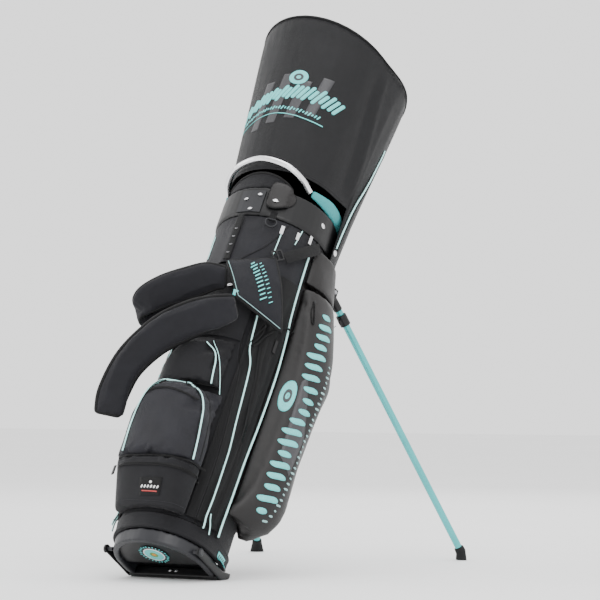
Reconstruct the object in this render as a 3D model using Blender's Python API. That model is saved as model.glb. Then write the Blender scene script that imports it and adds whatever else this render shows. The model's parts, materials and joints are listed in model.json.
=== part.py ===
"""Golf stand bag, resting on its tilted base and two swing-out legs.

World frame: metres, +Z up, origin on the resting facet of the base heel, +Y towards the legs.
Bag frame (the empty "bag_frame"): origin at the middle of the base's underside, +z up the bag's
axis, +y to the leg side, +x to the bag's right. Every piece is drawn in the bag frame.
"""

import math

import bmesh
import bpy
from mathutils import Vector

# ---------------------------------------------------------------- driving dimensions (m)
LEAN = math.radians(33.0)           # the bag's axis from the vertical, towards the legs
GAP = 0.0004                        # clearance between pieces that touch
HEEL_Y = 0.051                      # where the base's underside meets the ground
HEEL_DEPTH = 0.015                  # resting facet, measured along the ground
HEEL_HALF = 0.104                   # half the heel's width

BASE_R = 0.103                      # front radius of the moulded base
RIM_HEIGHT = 0.026                  # height of the moulded base rim
TUBE_TOP = 0.800                    # top of the fabric tube
TUBE_WALL = 0.0045
TUBE_LEVELS = (0.0, 0.060, 0.090, 0.130, 0.180, 0.800)
CLEAR = 0.0011                      # clearance of a faceted piece that wraps another
CUFF_R = 0.1280                     # outer radius of the top cuff
CUFF_LOW, CUFF_HIGH = 0.776, 0.848

HOOD_FRONT_EDGE = 0.896             # height of the hood's hem in front of the bag
HOOD_BACK_EDGE = 0.762              # height of its hem on the leg side
HOOD_TOP = 1.265                    # mean height of its top seam
HOOD_WALL = 0.003
HOOD_SEAM = 0.016                   # depth of the top panel's side below the top seam

LEG_PIVOT = Vector((0.0949, 0.1249, 0.7457))
LEG_FOOT_WORLD = Vector((0.270, 0.7651, 0.0))
LEG_R = 0.0078
ROD_X, ROD_Y = 0.045, 0.1290        # the two actuator rods on the leg side
ROD_TRAVEL = 0.035
LEVER_PIVOT = Vector((0.0, -0.045, 0.009))
LEVER_ROOM = 0.0065                 # height kept free for the lever's plate above the ground
RIM_WALL = 0.013
ROD_LOW = 0.066
COLLAR_AT, LUG_OUT = 0.066, 0.0155  # collar on the leg, and its lug under the leg
D_RING_PIVOT = Vector((0.06197, -0.11655, 0.7685))

PULLS = (                           # name, angle, top, length, height above the tube
    ("zip_pull_upper_a", -50.0, 0.7600, 0.020, 0.0110),
    ("zip_pull_upper_b", -33.0, 0.7660, 0.018, 0.0030),
    ("zip_pull_upper_c", -20.0, 0.7740, 0.020, 0.0070),
    ("zip_pull_gusset", -19.0, 0.5100, 0.030, 0.0070),
    ("zip_pull_pouch", -118.0, 0.1400, 0.020, 0.0525),
)

# ---------------------------------------------------------------- colours
COLOURS = {
    "nylon_black": ((0.018, 0.018, 0.021), 0.75, 0.0),
    "nylon_grey": ((0.036, 0.037, 0.043), 0.8, 0.0),
    "mesh_black": ((0.010, 0.010, 0.012), 0.9, 0.0),
    "hood_fabric": ((0.014, 0.014, 0.017), 0.45, 0.0),
    "gloss_fabric": ((0.020, 0.018, 0.019), 0.38, 0.0),
    "moulded_black": ((0.014, 0.014, 0.016), 0.5, 0.0),
    "moulded_grey": ((0.060, 0.060, 0.066), 0.45, 0.0),
    "rubber_black": ((0.015, 0.015, 0.015), 0.85, 0.0),
    "teal_padding": ((0.085, 0.46, 0.47), 0.85, 0.0),
    "teal_anodised": ((0.10, 0.55, 0.58), 0.3, 0.6),
    "silver": ((0.72, 0.72, 0.74), 0.25, 1.0),
    "steel": ((0.45, 0.45, 0.47), 0.3, 1.0),
    "label_cloth": ((0.012, 0.012, 0.02), 0.8, 0.0),
    "emblem": ((0.30, 0.60, 0.62), 0.35, 0.0),
    "pad_foam": ((0.040, 0.042, 0.050), 0.85, 0.0),
}


def material(name):
    found = bpy.data.materials.get(name)
    if found:
        return found
    colour, roughness, metallic = COLOURS[name]
    made = bpy.data.materials.new(name)
    made.use_nodes = True
    shader = made.node_tree.nodes["Principled BSDF"]
    shader.inputs["Base Color"].default_value = (*colour, 1.0)
    shader.inputs["Roughness"].default_value = roughness
    shader.inputs["Metallic"].default_value = metallic
    return made


# ---------------------------------------------------------------- frames
def clear_scene():
    for thing in list(bpy.data.objects):
        bpy.data.objects.remove(thing, do_unlink=True)


def make_frame():
    empty = bpy.data.objects.new("bag_frame", None)
    bpy.context.scene.collection.objects.link(empty)
    heel = HEEL_Y * math.cos(LEAN) + HEEL_DEPTH / 2
    empty.location = (0.0, -heel, HEEL_Y * math.sin(LEAN))
    empty.rotation_euler = (-LEAN, 0.0, 0.0)
    return empty


def to_bag(world):
    """A world point in the bag frame."""
    y = world.y + HEEL_DEPTH / 2
    return Vector((world.x,
                   y * math.cos(LEAN) - world.z * math.sin(LEAN) + HEEL_Y,
                   y * math.sin(LEAN) + world.z * math.cos(LEAN)))


def ground(y, lift=0.0):
    """Height in the bag frame of the ground at y, or of a plane `lift` above it."""
    return (y - HEEL_Y) * math.tan(LEAN) + lift / math.cos(LEAN)


def add(name, finish, verts, faces, pivot=(0.0, 0.0, 0.0), sharp=35.0):
    """An object from vertices in the bag frame, with its origin at the pivot."""
    pivot = Vector(pivot)
    mesh = bpy.data.meshes.new(name)
    mesh.from_pydata([Vector(v) - pivot for v in verts], [], faces)
    tidy = bmesh.new()
    tidy.from_mesh(mesh)
    bmesh.ops.recalc_face_normals(tidy, faces=tidy.faces)
    tidy.to_mesh(mesh)
    tidy.free()
    mesh.shade_smooth()
    mesh.set_sharp_from_angle(angle=math.radians(sharp))
    mesh.materials.append(material(finish))
    made = bpy.data.objects.new(name, mesh)
    bpy.context.scene.collection.objects.link(made)
    made.parent = FRAME
    made.location = pivot
    return made


def boolean(target, tool, operation):
    cut = target.modifiers.new(operation.lower(), "BOOLEAN")
    cut.operation = operation
    cut.solver = "EXACT"
    cut.object = tool
    tool.hide_render = True
    tool.display_type = "WIRE"


# ---------------------------------------------------------------- shape builders
def polar(phi, r, z):
    a = math.radians(phi)
    return (r * math.cos(a), r * math.sin(a), z)


def smooth(t):
    t = min(1.0, max(0.0, t))
    return t * t * (3 - 2 * t)


def steps(low, high, count):
    return [low + (high - low) * i / count for i in range(count + 1)]


def slab(outer, inner, rows, cols, wrap=False):
    """Closed skin between two grids of points, rows by cols; wrap joins the last row to the first."""
    verts = [outer(i, j) for i in range(rows) for j in range(cols)]
    verts += [inner(i, j) for i in range(rows) for j in range(cols)]
    half = rows * cols

    def o(i, j):
        return (i % rows) * cols + j

    faces = []
    for i in range(rows if wrap else rows - 1):
        for j in range(cols - 1):
            quad = [o(i, j), o(i + 1, j), o(i + 1, j + 1), o(i, j + 1)]
            faces.append(quad)
            faces.append([half + k for k in reversed(quad)])
        for j in (0, cols - 1):
            faces.append([o(i, j), o(i + 1, j), half + o(i + 1, j), half + o(i, j)])
    if not wrap:
        for i in (0, rows - 1):
            for j in range(cols - 1):
                faces.append([o(i, j), o(i, j + 1), half + o(i, j + 1), half + o(i, j)])
    return verts, faces


def with_tube_levels(heights):
    """The heights with the tube's own levels added, so a piece follows the tube's flats."""
    extra = [z for z in TUBE_LEVELS if heights[0] < z < heights[-1]
             and min(abs(z - h) for h in heights) > 1e-6]
    return sorted(heights + extra)


def sector(name, finish, phis, heights, r_out, r_in, sharp=35.0):
    """A curved pad on the bag: r_out and r_in give the radius at (phi, z)."""
    heights = with_tube_levels(heights)
    verts, faces = slab(lambda i, j: polar(phis[i], r_out(phis[i], heights[j]), heights[j]),
                        lambda i, j: polar(phis[i], r_in(phis[i], heights[j]), heights[j]),
                        len(phis), len(heights))
    return add(name, finish, verts, faces, sharp=sharp)


def ring(name, finish, profile, count=48, sharp=35.0):
    """A closed ring: profile(phi) lists the section's (r, z) corners."""
    verts, faces = [], []
    corners = len(profile(0.0))
    for k in range(count):
        phi = 360.0 * k / count
        verts += [polar(phi, r, z) for r, z in profile(phi)]
    for k in range(count):
        for c in range(corners):
            a, b = k * corners, (k + 1) % count * corners
            d = (c + 1) % corners
            faces.append([a + c, b + c, b + d, a + d])
    return add(name, finish, verts, faces, sharp=sharp)


def section_loft(name, finish, sections, pivot=(0, 0, 0), sharp=35.0):
    """A solid through closed sections of equal point count, with flat ends."""
    count = len(sections[0])
    verts = [v for section in sections for v in section]
    faces = []
    for s in range(len(sections) - 1):
        for c in range(count):
            d = (c + 1) % count
            a, b = s * count, (s + 1) * count
            faces.append([a + c, a + d, b + d, b + c])
    faces.append(list(range(count)))
    last = (len(sections) - 1) * count
    faces.append([last + c for c in reversed(range(count))])
    return add(name, finish, verts, faces, pivot, sharp)


def curve_points(route, count):
    """Points evenly spread in parameter on a Catmull-Rom curve through the route."""
    route = [Vector(p) for p in route]
    ends = [2 * route[0] - route[1]] + route + [2 * route[-1] - route[-2]]
    result = []
    spans = len(route) - 1
    for k in range(count + 1):
        t = spans * k / count
        s = min(int(t), spans - 1)
        u = t - s
        a, b, c, d = ends[s:s + 4]
        result.append(0.5 * (2 * b + (c - a) * u + (2 * a - 5 * b + 4 * c - d) * u * u
                             + (3 * b - a - 3 * c + d) * u ** 3))
    return result


def circle_section(centre, side, up, radius, count=10):
    return [centre + side * radius * math.cos(2 * math.pi * k / count)
            + up * radius * math.sin(2 * math.pi * k / count) for k in range(count)]


def tube(name, finish, points, radius, count=10, pivot=(0, 0, 0)):
    """A round bar along the points, its sections turned as little as possible."""
    points = [Vector(p) for p in points]
    sections = []
    side = None
    for k, p in enumerate(points):
        along = (points[min(k + 1, len(points) - 1)] - points[max(k - 1, 0)]).normalized()
        if side is None:
            side = along.orthogonal().normalized()
        side = (side - along * side.dot(along)).normalized()
        sections.append(circle_section(p, side, along.cross(side), radius, count))
    return section_loft(name, finish, sections, pivot, sharp=50.0)


def turned(name, finish, start, along, profile, count=12, pivot=(0, 0, 0), sharp=35.0):
    """A solid turned about the line from start along `along`: profile lists (distance, radius)."""
    side = along.orthogonal().normalized()
    up = along.cross(side)
    sections = [circle_section(start + along * s, side, up, r, count) for s, r in profile]
    return section_loft(name, finish, sections, pivot, sharp)


def block(name, finish, centre, axes, sizes, pivot=(0, 0, 0)):
    """A box with half sizes along three axes."""
    centre = Vector(centre)
    a, b, c = (Vector(axis) * size for axis, size in zip(axes, sizes))
    low = [centre - a - b - c, centre + a - b - c, centre + a + b - c, centre - a + b - c]
    return section_loft(name, finish, [low, [p + 2 * c for p in low]], pivot, sharp=30.0)


XYZ = (Vector((1, 0, 0)), Vector((0, 1, 0)), Vector((0, 0, 1)))


# ---------------------------------------------------------------- outlines of the bag
def base_radius(phi, r):
    """Base outline: round in front, fuller at the corners on the leg side."""
    x, y = math.cos(math.radians(phi)), math.sin(math.radians(phi))
    if y <= 0:
        return r
    power = 2.8
    return r * (abs(x) ** power + abs(y / 1.06) ** power) ** (-1 / power)


def tube_radius(phi, z):
    """Outer face of the fabric tube: the base outline below, round above, straight between levels."""
    upper = next((k for k, level in enumerate(TUBE_LEVELS) if level >= z and k), len(TUBE_LEVELS) - 1)
    low, high = TUBE_LEVELS[upper - 1], TUBE_LEVELS[upper]

    def exact(level):
        t = smooth((level - 0.02) / 0.16)
        round_part = 0.1170 + 0.0045 * level / TUBE_TOP
        return (1 - t) * base_radius(phi, 0.1065) + t * round_part

    share = (z - low) / (high - low)
    return exact(low) * (1 - share) + exact(high) * share


def on_tube(phi, z):
    """Radius just outside the tube, with room for the flats of both pieces."""
    return tube_radius(phi, z) + CLEAR


# ---------------------------------------------------------------- base
def rim_top(phi):
    """Upper edge of the base rim: level in front, raised over the foot lever."""
    y = base_radius(phi, BASE_R) * math.sin(math.radians(phi))
    return max(RIM_HEIGHT, ground(y, LEVER_ROOM) + 0.010)


def heel_sections(grow):
    """The heel bar: a five-sided section drawn across the base, its facet on the ground."""
    front = HEEL_Y - 0.010 - grow
    back = HEEL_Y + HEEL_DEPTH * math.cos(LEAN) + grow
    top = 0.020 + grow
    outline = [(front, -grow), (HEEL_Y, -grow), (back, ground(back) - grow), (back, top), (front, top)]
    return [[(x, y, z) for y, z in outline] for x in (-HEEL_HALF - grow, HEEL_HALF + grow)]


def make_base():
    def rim(phi):
        outer = base_radius(phi, BASE_R)
        inner = outer - RIM_WALL
        y = math.sin(math.radians(phi))
        return [(outer, max(0.0, ground(outer * y, LEVER_ROOM))),
                (outer + 0.003, rim_top(phi)),
                (inner, rim_top(phi)),
                (inner, max(0.0, ground(inner * y, LEVER_ROOM)))]

    base_ring = ring("base_ring", "moulded_grey", rim)
    notch = section_loft("heel_notch", "moulded_black", heel_sections(GAP))
    boolean(base_ring, notch, "DIFFERENCE")
    section_loft("base_heel", "moulded_black", heel_sections(0.0))

    def floor_point(level):
        def point(i, j):
            phi = 7.5 * i
            r = [0.004, 0.030, 0.05, 0.078, base_radius(phi, BASE_R) - RIM_WALL - GAP][j]
            y = r * math.sin(math.radians(phi))
            base = 0.0070 if y < 0.0 else 0.0070 + 0.0140 * smooth(y / 0.030)
            return polar(phi, r, max(base, ground(y, LEVER_ROOM)) + level)
        return point

    verts, faces = slab(floor_point(0.0035), floor_point(0.0), 48, 5, wrap=True)
    add("base_floor", "moulded_black", verts, faces)
    turned("base_emblem", "emblem", Vector((0.0, -0.037, 0.0066)), Vector((0, 0, -1)),
           [(0.0, 0.030), (0.0012, 0.030), (0.0020, 0.0275), (0.0024, 0.010)], 24)


def make_foot_lever():
    """Ground plate behind the heel with two side arms, hinged on the base's sides."""
    slope = Vector((0.0, math.cos(LEAN), math.sin(LEAN)))
    up = Vector((0.0, -math.sin(LEAN), math.cos(LEAN)))
    start = Vector((0.0, HEEL_Y, 0.0))
    half = HEEL_HALF + 0.0070
    outline = [(half, 0.0205), (half, 0.030), (0.085, 0.060), (0.055, 0.090), (0.030, 0.100)]
    outline += [(-x, d) for x, d in reversed(outline)]
    plate = section_loft("foot_lever", "moulded_black",
                         [[start + Vector((x, 0, 0)) + slope * d + up * h for x, d in outline]
                          for h in (0.0004, 0.0050)], pivot=LEVER_PIVOT)
    for side in (-1, 1):
        arm = [(-0.056, 0.001), (0.052, 0.0012), (0.078, 0.0186), (0.078, 0.030), (0.050, 0.020),
               (-0.050, 0.017), (-0.056, 0.012)]
        xs = (side * (HEEL_HALF + 0.0026), side * (HEEL_HALF + 0.0070))
        bar = section_loft("lever_arm_%s" % ("right" if side > 0 else "left"), "moulded_black",
                           [[(x, y, z) for y, z in arm] for x in xs])
        boolean(plate, bar, "UNION")
        hole = turned("lever_hole_%s" % ("right" if side > 0 else "left"), "moulded_black",
                      Vector((side * 0.095, LEVER_PIVOT.y, LEVER_PIVOT.z)), Vector((side, 0, 0)),
                      [(0.0, 0.0046), (0.025, 0.0046)], 12)
        boolean(plate, hole, "DIFFERENCE")


def make_lever_pins():
    for side, word in ((1, "right"), (-1, "left")):
        x = math.sqrt((BASE_R + 0.002) ** 2 - LEVER_PIVOT.y ** 2) + 2 * GAP
        length = HEEL_HALF + 0.0074 - x
        turned("lever_pin_" + word, "steel", Vector((side * x, LEVER_PIVOT.y, LEVER_PIVOT.z)),
               Vector((side, 0, 0)),
               [(0.0, 0.0042), (length, 0.0042), (length, 0.0085), (length + 0.002, 0.0085),
                (length + 0.0035, 0.006)], 12)


# ---------------------------------------------------------------- tube and cuff
def make_tube():
    def seam(phi):
        return max(TUBE_LEVELS[1], rim_top(phi) + 0.012)

    def wall(phi):
        zs = [seam(phi) + GAP] + [max(z, seam(phi) + 0.004) for z in TUBE_LEVELS[2:]]
        outside = [(tube_radius(phi, z), z) for z in zs]
        return outside + [(r - TUBE_WALL, z) for r, z in reversed(outside)]

    ring("bag_tube", "nylon_black", wall, 48)

    def band(phi):
        ends = [(tube_radius(phi, z), z) for z in (rim_top(phi) + GAP, seam(phi))]
        return [(r + 0.0030, z) for r, z in ends] + [(r - TUBE_WALL, z) for r, z in reversed(ends)]

    ring("base_collar", "nylon_black", band, 48)


def make_cuff():
    inner = 0.1125
    ring("top_cuff", "moulded_black",
         lambda phi: [(CUFF_R - 0.003, CUFF_LOW), (CUFF_R, CUFF_LOW + 0.006), (CUFF_R, CUFF_HIGH),
                      (inner, CUFF_HIGH), (inner, TUBE_TOP + GAP), (0.1222, TUBE_TOP + GAP),
                      (0.1222, CUFF_LOW)], 48)

    def pad_point(i, j):
        phi = -34.0 + 248.0 * i / 36
        a = 2 * math.pi * j / 10
        swell = min(1.0, 0.55 + 0.45 * min(i, 36 - i) / 4)
        r = 0.1226 + 0.0098 * swell * math.cos(a)
        z = 0.8690 + 0.0195 * swell * math.sin(a)
        return Vector(polar(phi, r, z))

    section_loft("cuff_rim_pad", "teal_padding",
                 [[pad_point(i, j) for j in range(10)] for i in range(37)])

    phis = steps(-128.0, -52.0, 14)

    def arch_point(radius):
        def point(i, j):
            away = abs(phis[i] + 90) / 38
            crown = math.cos(math.radians(90 * away)) ** 0.7 if away < 0.999 else 0.0
            share = (0.0, 0.5, 1.0)[j]
            return polar(phis[i], radius, CUFF_HIGH + GAP + share * (0.006 + 0.034 * crown))
        return point

    verts, faces = slab(arch_point(0.1278), arch_point(0.1155), len(phis), 3)
    add("front_arch", "moulded_black", verts, faces, sharp=50.0)


def make_divider():
    """Five-way top: one bar front to back and two across."""
    z, half = 0.842, 0.011
    spine = block("divider_frame", "moulded_black", (0, 0, z), XYZ, (0.003, 0.1120, half))
    for y, reach in ((-0.036, 0.1042), (0.036, 0.1042)):
        bar = block("divider_bar_%s" % ("front" if y < 0 else "back"), "moulded_black", (0, y, z),
                    XYZ, (reach, 0.003, half))
        boolean(spine, bar, "UNION")


def make_handle():
    route = [(0.1015, -0.0725, 0.8700), (0.0905, -0.1030, 0.8850), (0.0600, -0.1310, 0.9010),
             (0.0, -0.1440, 0.9120), (-0.0600, -0.1310, 0.9010), (-0.0905, -0.1030, 0.8850),
             (-0.1015, -0.0725, 0.8700)]
    tube("grab_handle", "silver", curve_points(route, 28), 0.0068, 10)


# ---------------------------------------------------------------- front pieces of the cuff
def flat_piece(name, finish, phis, zs, lift, thick, sharp=35.0):
    """A thin piece lying on the cuff or the tube, `lift` above radius CUFF_R."""
    return sector(name, finish, phis, zs, lambda phi, z: CUFF_R + lift + thick,
                  lambda phi, z: CUFF_R + lift, sharp)


def make_cuff_trim():
    flat_piece("belt_plate", "moulded_grey", steps(-101, -76, 5), [0.782, 0.80, 0.838], GAP, 0.0022)
    flat_piece("lobe_flap", "moulded_black", steps(-72, -52, 4), [0.792, 0.80, 0.83, 0.862], GAP,
               0.0050)
    centre = Vector(polar(-62, CUFF_R + 0.0012, 0.772))
    out = Vector(polar(-62, 1, 0))
    side = Vector((0, 0, 1)).cross(out)
    block("d_ring_loop", "nylon_black", Vector(polar(-62, CUFF_R + 0.0011, 0.7785)),
          (side, Vector((0, 0, 1)), out), (0.007, 0.0120, 0.0006))
    ring_points = []
    for k in range(16):
        a = 2 * math.pi * k / 16
        drop = -0.0105 + 0.0115 * math.sin(a)
        if drop > -0.0035:
            drop = -0.0035
        ring_points.append(centre + out * 0.0028 + side * 0.012 * math.cos(a) + Vector((0, 0, drop)))
    closed_loop("d_ring", "steel", ring_points, 0.0016, pivot=D_RING_PIVOT)


def closed_loop(name, finish, points, radius, count=6, pivot=(0, 0, 0)):
    """A round wire bent into a closed loop."""
    total = len(points)
    centre = sum(points, Vector()) / total
    verts, faces = [], []
    normal = (points[total // 4] - centre).cross(points[0] - centre).normalized()
    for k, p in enumerate(points):
        along = (points[(k + 1) % total] - points[k - 1]).normalized()
        verts += circle_section(p, normal, along.cross(normal).normalized(), radius, count)
    for k in range(total):
        for c in range(count):
            a, b = k * count, (k + 1) % total * count
            d = (c + 1) % count
            faces.append([a + c, a + d, b + d, b + c])
    return add(name, finish, verts, faces, pivot, sharp=60.0)


# ---------------------------------------------------------------- pockets
def pocket_depth(z):
    """How far the side pockets stand out, 0 to 1: full low down, thin at the top."""
    if z < 0.178:
        edge = max(0.0, min(1.0, (z - 0.106) / 0.072))
        return 0.87 * math.sqrt(1 - (1 - edge) ** 2)
    if z < 0.47:
        return 0.87 + 0.13 * (z - 0.178) / 0.292
    return 1.0 - 0.78 * smooth((z - 0.44) / 0.36)


def side_pocket_radius(phi, z):
    """Outer face of a side pocket; phi is measured from the bag's right."""
    base = on_tube(phi, z) + 0.004
    front = base + 0.094 * pocket_depth(z) * smooth((phi + 13) / 42) ** 0.55
    if phi > 15:
        front = min(front, max(base, 0.1045 / math.sin(math.radians(phi))))
    return front


def make_side_pockets():
    for side, word in ((1, "right"), (-1, "left")):
        def turn(phi):
            return phi if side > 0 else 180.0 - phi

        phis = [-9, -3, 4, 11, 18, 24, 28, 33, 39, 45]
        low = [0.108, 0.113, 0.130, 0.152, 0.180, 0.26, 0.36, 0.47, 0.54, 0.60, 0.64, 0.670]
        high = [0.6710, 0.70, 0.735, 0.7612]
        for label, zs, count in (("side_pocket_", low, 10), ("upper_pocket_", high, 8)):
            verts, faces = slab(
                lambda i, j: polar(turn(phis[i]), side_pocket_radius(phis[i], zs[j]), zs[j]),
                lambda i, j: polar(turn(phis[i]), on_tube(phis[i], zs[j]), zs[j]),
                count, len(zs))
            add(label + word, "gloss_fabric", verts, faces, sharp=50.0)

        panel = [-48, -43, -36, -30, -22, -16, -9.6]
        zs = with_tube_levels([0.070, 0.30, 0.50, 0.652])
        verts, faces = slab(lambda i, j: polar(turn(panel[i]), on_tube(0, zs[j]) + 0.0050, zs[j]),
                            lambda i, j: polar(turn(panel[i]), on_tube(panel[i], zs[j]), zs[j]),
                            len(panel), len(zs))
        add("zip_gusset_" + word, "mesh_black", verts, faces, sharp=50.0)


def box_front(phi, half_width, front, crown, floor):
    """Radius of a boxy pocket facing -y: flat crowned front, corners, sides running back."""
    delta = abs(phi + 90.0)
    c, s = math.cos(math.radians(delta)), math.sin(math.radians(delta))
    x_here = min(half_width, front * math.tan(math.radians(min(delta, 60))))
    face = (front + crown * (1 - (x_here / half_width) ** 2)) / c
    side = half_width / max(s, 1e-4)
    power = 9.0
    return max(floor, (face ** -power + side ** -power) ** (-1 / power))


def make_front_pockets():
    phis = [-90 + d for d in (-41.3, -40, -37, -33, -28, -20, -10, 0, 10, 20, 28, 33, 37, 40, 41.3)]

    def ball(phi, z):
        arch = 1 - 0.30 * (abs(phi + 90) / 40) ** 3
        top = 0.345 * arch + 0.010
        fall = smooth((top - z) / 0.030)
        floor = on_tube(phi, z) + 0.004
        return floor + (box_front(phi, 0.097, 0.150, 0.026, floor) - floor) * fall

    sector("ball_pocket", "nylon_grey", phis, [0.1604, 0.165, 0.21, 0.26, 0.30, 0.318, 0.332, 0.346],
           ball, on_tube, 60.0)

    def pouch(phi, z):
        t = (z - 0.062) / 0.098
        floor = on_tube(phi, z) + 0.003
        return box_front(phi, 0.084 + 0.012 * t, 0.116 + 0.036 * t, 0.010 + 0.010 * t, floor)

    sector("lower_pouch", "nylon_grey", phis, [0.0635, 0.075, 0.10, 0.13, 0.155, 0.1598], pouch,
           on_tube, 60.0)
    def valuables(phi, z):
        top = 0.47 - 0.10 * (abs(phi + 90) / 32) ** 3
        floor = on_tube(phi, z) + 0.003
        fall = smooth((top - z) / 0.030)
        return floor + (box_front(phi, 0.072, 0.139, 0.010, floor) - floor) * fall

    narrow = [-90 + d for d in (-36, -34, -31, -27, -20, -10, 0, 10, 20, 27, 31, 34, 36)]
    sector("valuables_pocket", "nylon_black", narrow, [0.3466, 0.37, 0.41, 0.44, 0.455, 0.470],
           valuables, on_tube, 60.0)
    sector("upper_front_pocket", "nylon_grey", steps(-170, -10, 20), [0.6525, 0.66, 0.70, 0.74, 0.7755],
           lambda phi, z: on_tube(phi, z) + 0.0016 + 0.0065 * smooth((0.7765 - z) / 0.05)
           * smooth((phi + 110) / 12) * smooth((-34 - phi) / 12), on_tube, 60.0)
    sector("strap_backing", "nylon_black", steps(-128, -52, 8), [0.472, 0.56, 0.6515],
           lambda phi, z: on_tube(phi, z) + 0.003, on_tube, 60.0)


# ---------------------------------------------------------------- shoulder strap
def strip(name, finish, rows, thick, count, round_edge=0.3):
    """A padded strip: rows hold (centre, across) where across is the full width vector."""
    centres = curve_points([r[0] for r in rows], count)
    widths = curve_points([r[1] for r in rows], count)
    sections = []
    for k, centre in enumerate(centres):
        along = (centres[min(k + 1, count)] - centres[max(k - 1, 0)]).normalized()
        across = widths[k] - along * widths[k].dot(along)
        half = across.length / 2
        across.normalize()
        out = along.cross(across).normalized()
        edge = min(half * 0.5, thick * round_edge)
        t = thick / 2
        corners = [(-half, 0), (-half + edge, -t), (half - edge, -t), (half, 0), (half - edge, t),
                   (-half + edge, t)]
        sections.append([centre + across * u + out * v for u, v in corners])
    return section_loft(name, finish, sections, sharp=60.0)


def make_strap():
    strip("strap_pad_lower", "pad_foam", [
        ((0.066, -0.146, 0.527), (-0.004, 0.030, -0.042)),
        ((0.044, -0.166, 0.500), (0.008, 0.040, -0.054)),
        ((-0.005, -0.178, 0.472), (0.013, 0.048, -0.059)),
        ((-0.058, -0.190, 0.425), (0.018, 0.050, -0.055)),
        ((-0.104, -0.190, 0.362), (0.038, 0.046, -0.030)),
        ((-0.127, -0.178, 0.300), (0.052, 0.036, 0.006)),
        ((-0.130, -0.168, 0.250), (0.048, 0.024, 0.010))], 0.017, 16)
    strip("strap_pad_upper", "pad_foam", [
        ((0.020, -0.146, 0.600), (0.010, 0.030, -0.036)),
        ((-0.012, -0.158, 0.592), (0.015, 0.040, -0.046)),
        ((-0.045, -0.166, 0.574), (0.016, 0.044, -0.049)),
        ((-0.090, -0.180, 0.545), (0.016, 0.044, -0.047)),
        ((-0.125, -0.186, 0.515), (0.016, 0.042, -0.042)),
        ((-0.142, -0.170, 0.500), (0.016, 0.040, -0.042)),
        ((-0.130, -0.152, 0.508), (0.014, 0.038, -0.042)),
        ((-0.092, -0.147, 0.536), (0.012, 0.034, -0.042)),
        ((-0.054, -0.143, 0.557), (0.010, 0.030, -0.040))], 0.014, 26)
    strip("strap_centre_pad", "pad_foam", [
        ((0.056, -0.1300, 0.655), (0.088, 0.037, 0.032)),
        ((0.083, -0.1250, 0.605), (0.086, 0.050, 0.014)),
        ((0.106, -0.1130, 0.552), (0.084, 0.062, -0.006))], 0.008, 8)


# ---------------------------------------------------------------- leg mechanism
def leg_frame(side):
    pivot = Vector((side * LEG_PIVOT.x, LEG_PIVOT.y, LEG_PIVOT.z))
    foot = to_bag(Vector((side * LEG_FOOT_WORLD.x, LEG_FOOT_WORLD.y, 0.0)))
    along = (foot - pivot)
    length = along.length
    along.normalize()
    out = Vector((along.x, along.y, 0)).normalized()
    axis = out.cross(Vector((0, 0, 1)))
    return pivot, along, length, out, axis


def strut_ends(side):
    """Collar lug and rod top for one strut wire, open and folded."""
    pivot, along, length, out, axis = leg_frame(side)
    under = (-out + along * along.dot(out)).normalized()
    opened = pivot + along * COLLAR_AT + under * LUG_OUT
    folded = pivot + Vector((0, 0, -COLLAR_AT)) - out * LUG_OUT
    foot = Vector((side * ROD_X, ROD_Y, 0))
    a = opened - foot
    b = folded - foot + Vector((0, 0, ROD_TRAVEL))
    height = (a.length_squared - b.length_squared) / (2 * (a.z - b.z))
    return opened, folded, foot + Vector((0, 0, height))


def clevis_sections(side):
    """Fork in plan: a back plate on the bag and two ears beside the leg's cap."""
    pivot, along, length, out, axis = leg_frame(side)
    plan = [(-0.0160, -0.0235), (0.0160, -0.0340), (0.0160, 0.009), (0.0112, 0.009),
            (0.0112, -0.0148), (-0.0112, -0.0148), (-0.0112, 0.009), (-0.0160, 0.009)]
    return [[pivot + axis * n * side + out * e + Vector((0, 0, h)) for n, e in plan] for h in (-0.018, 0.0105)]


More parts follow.
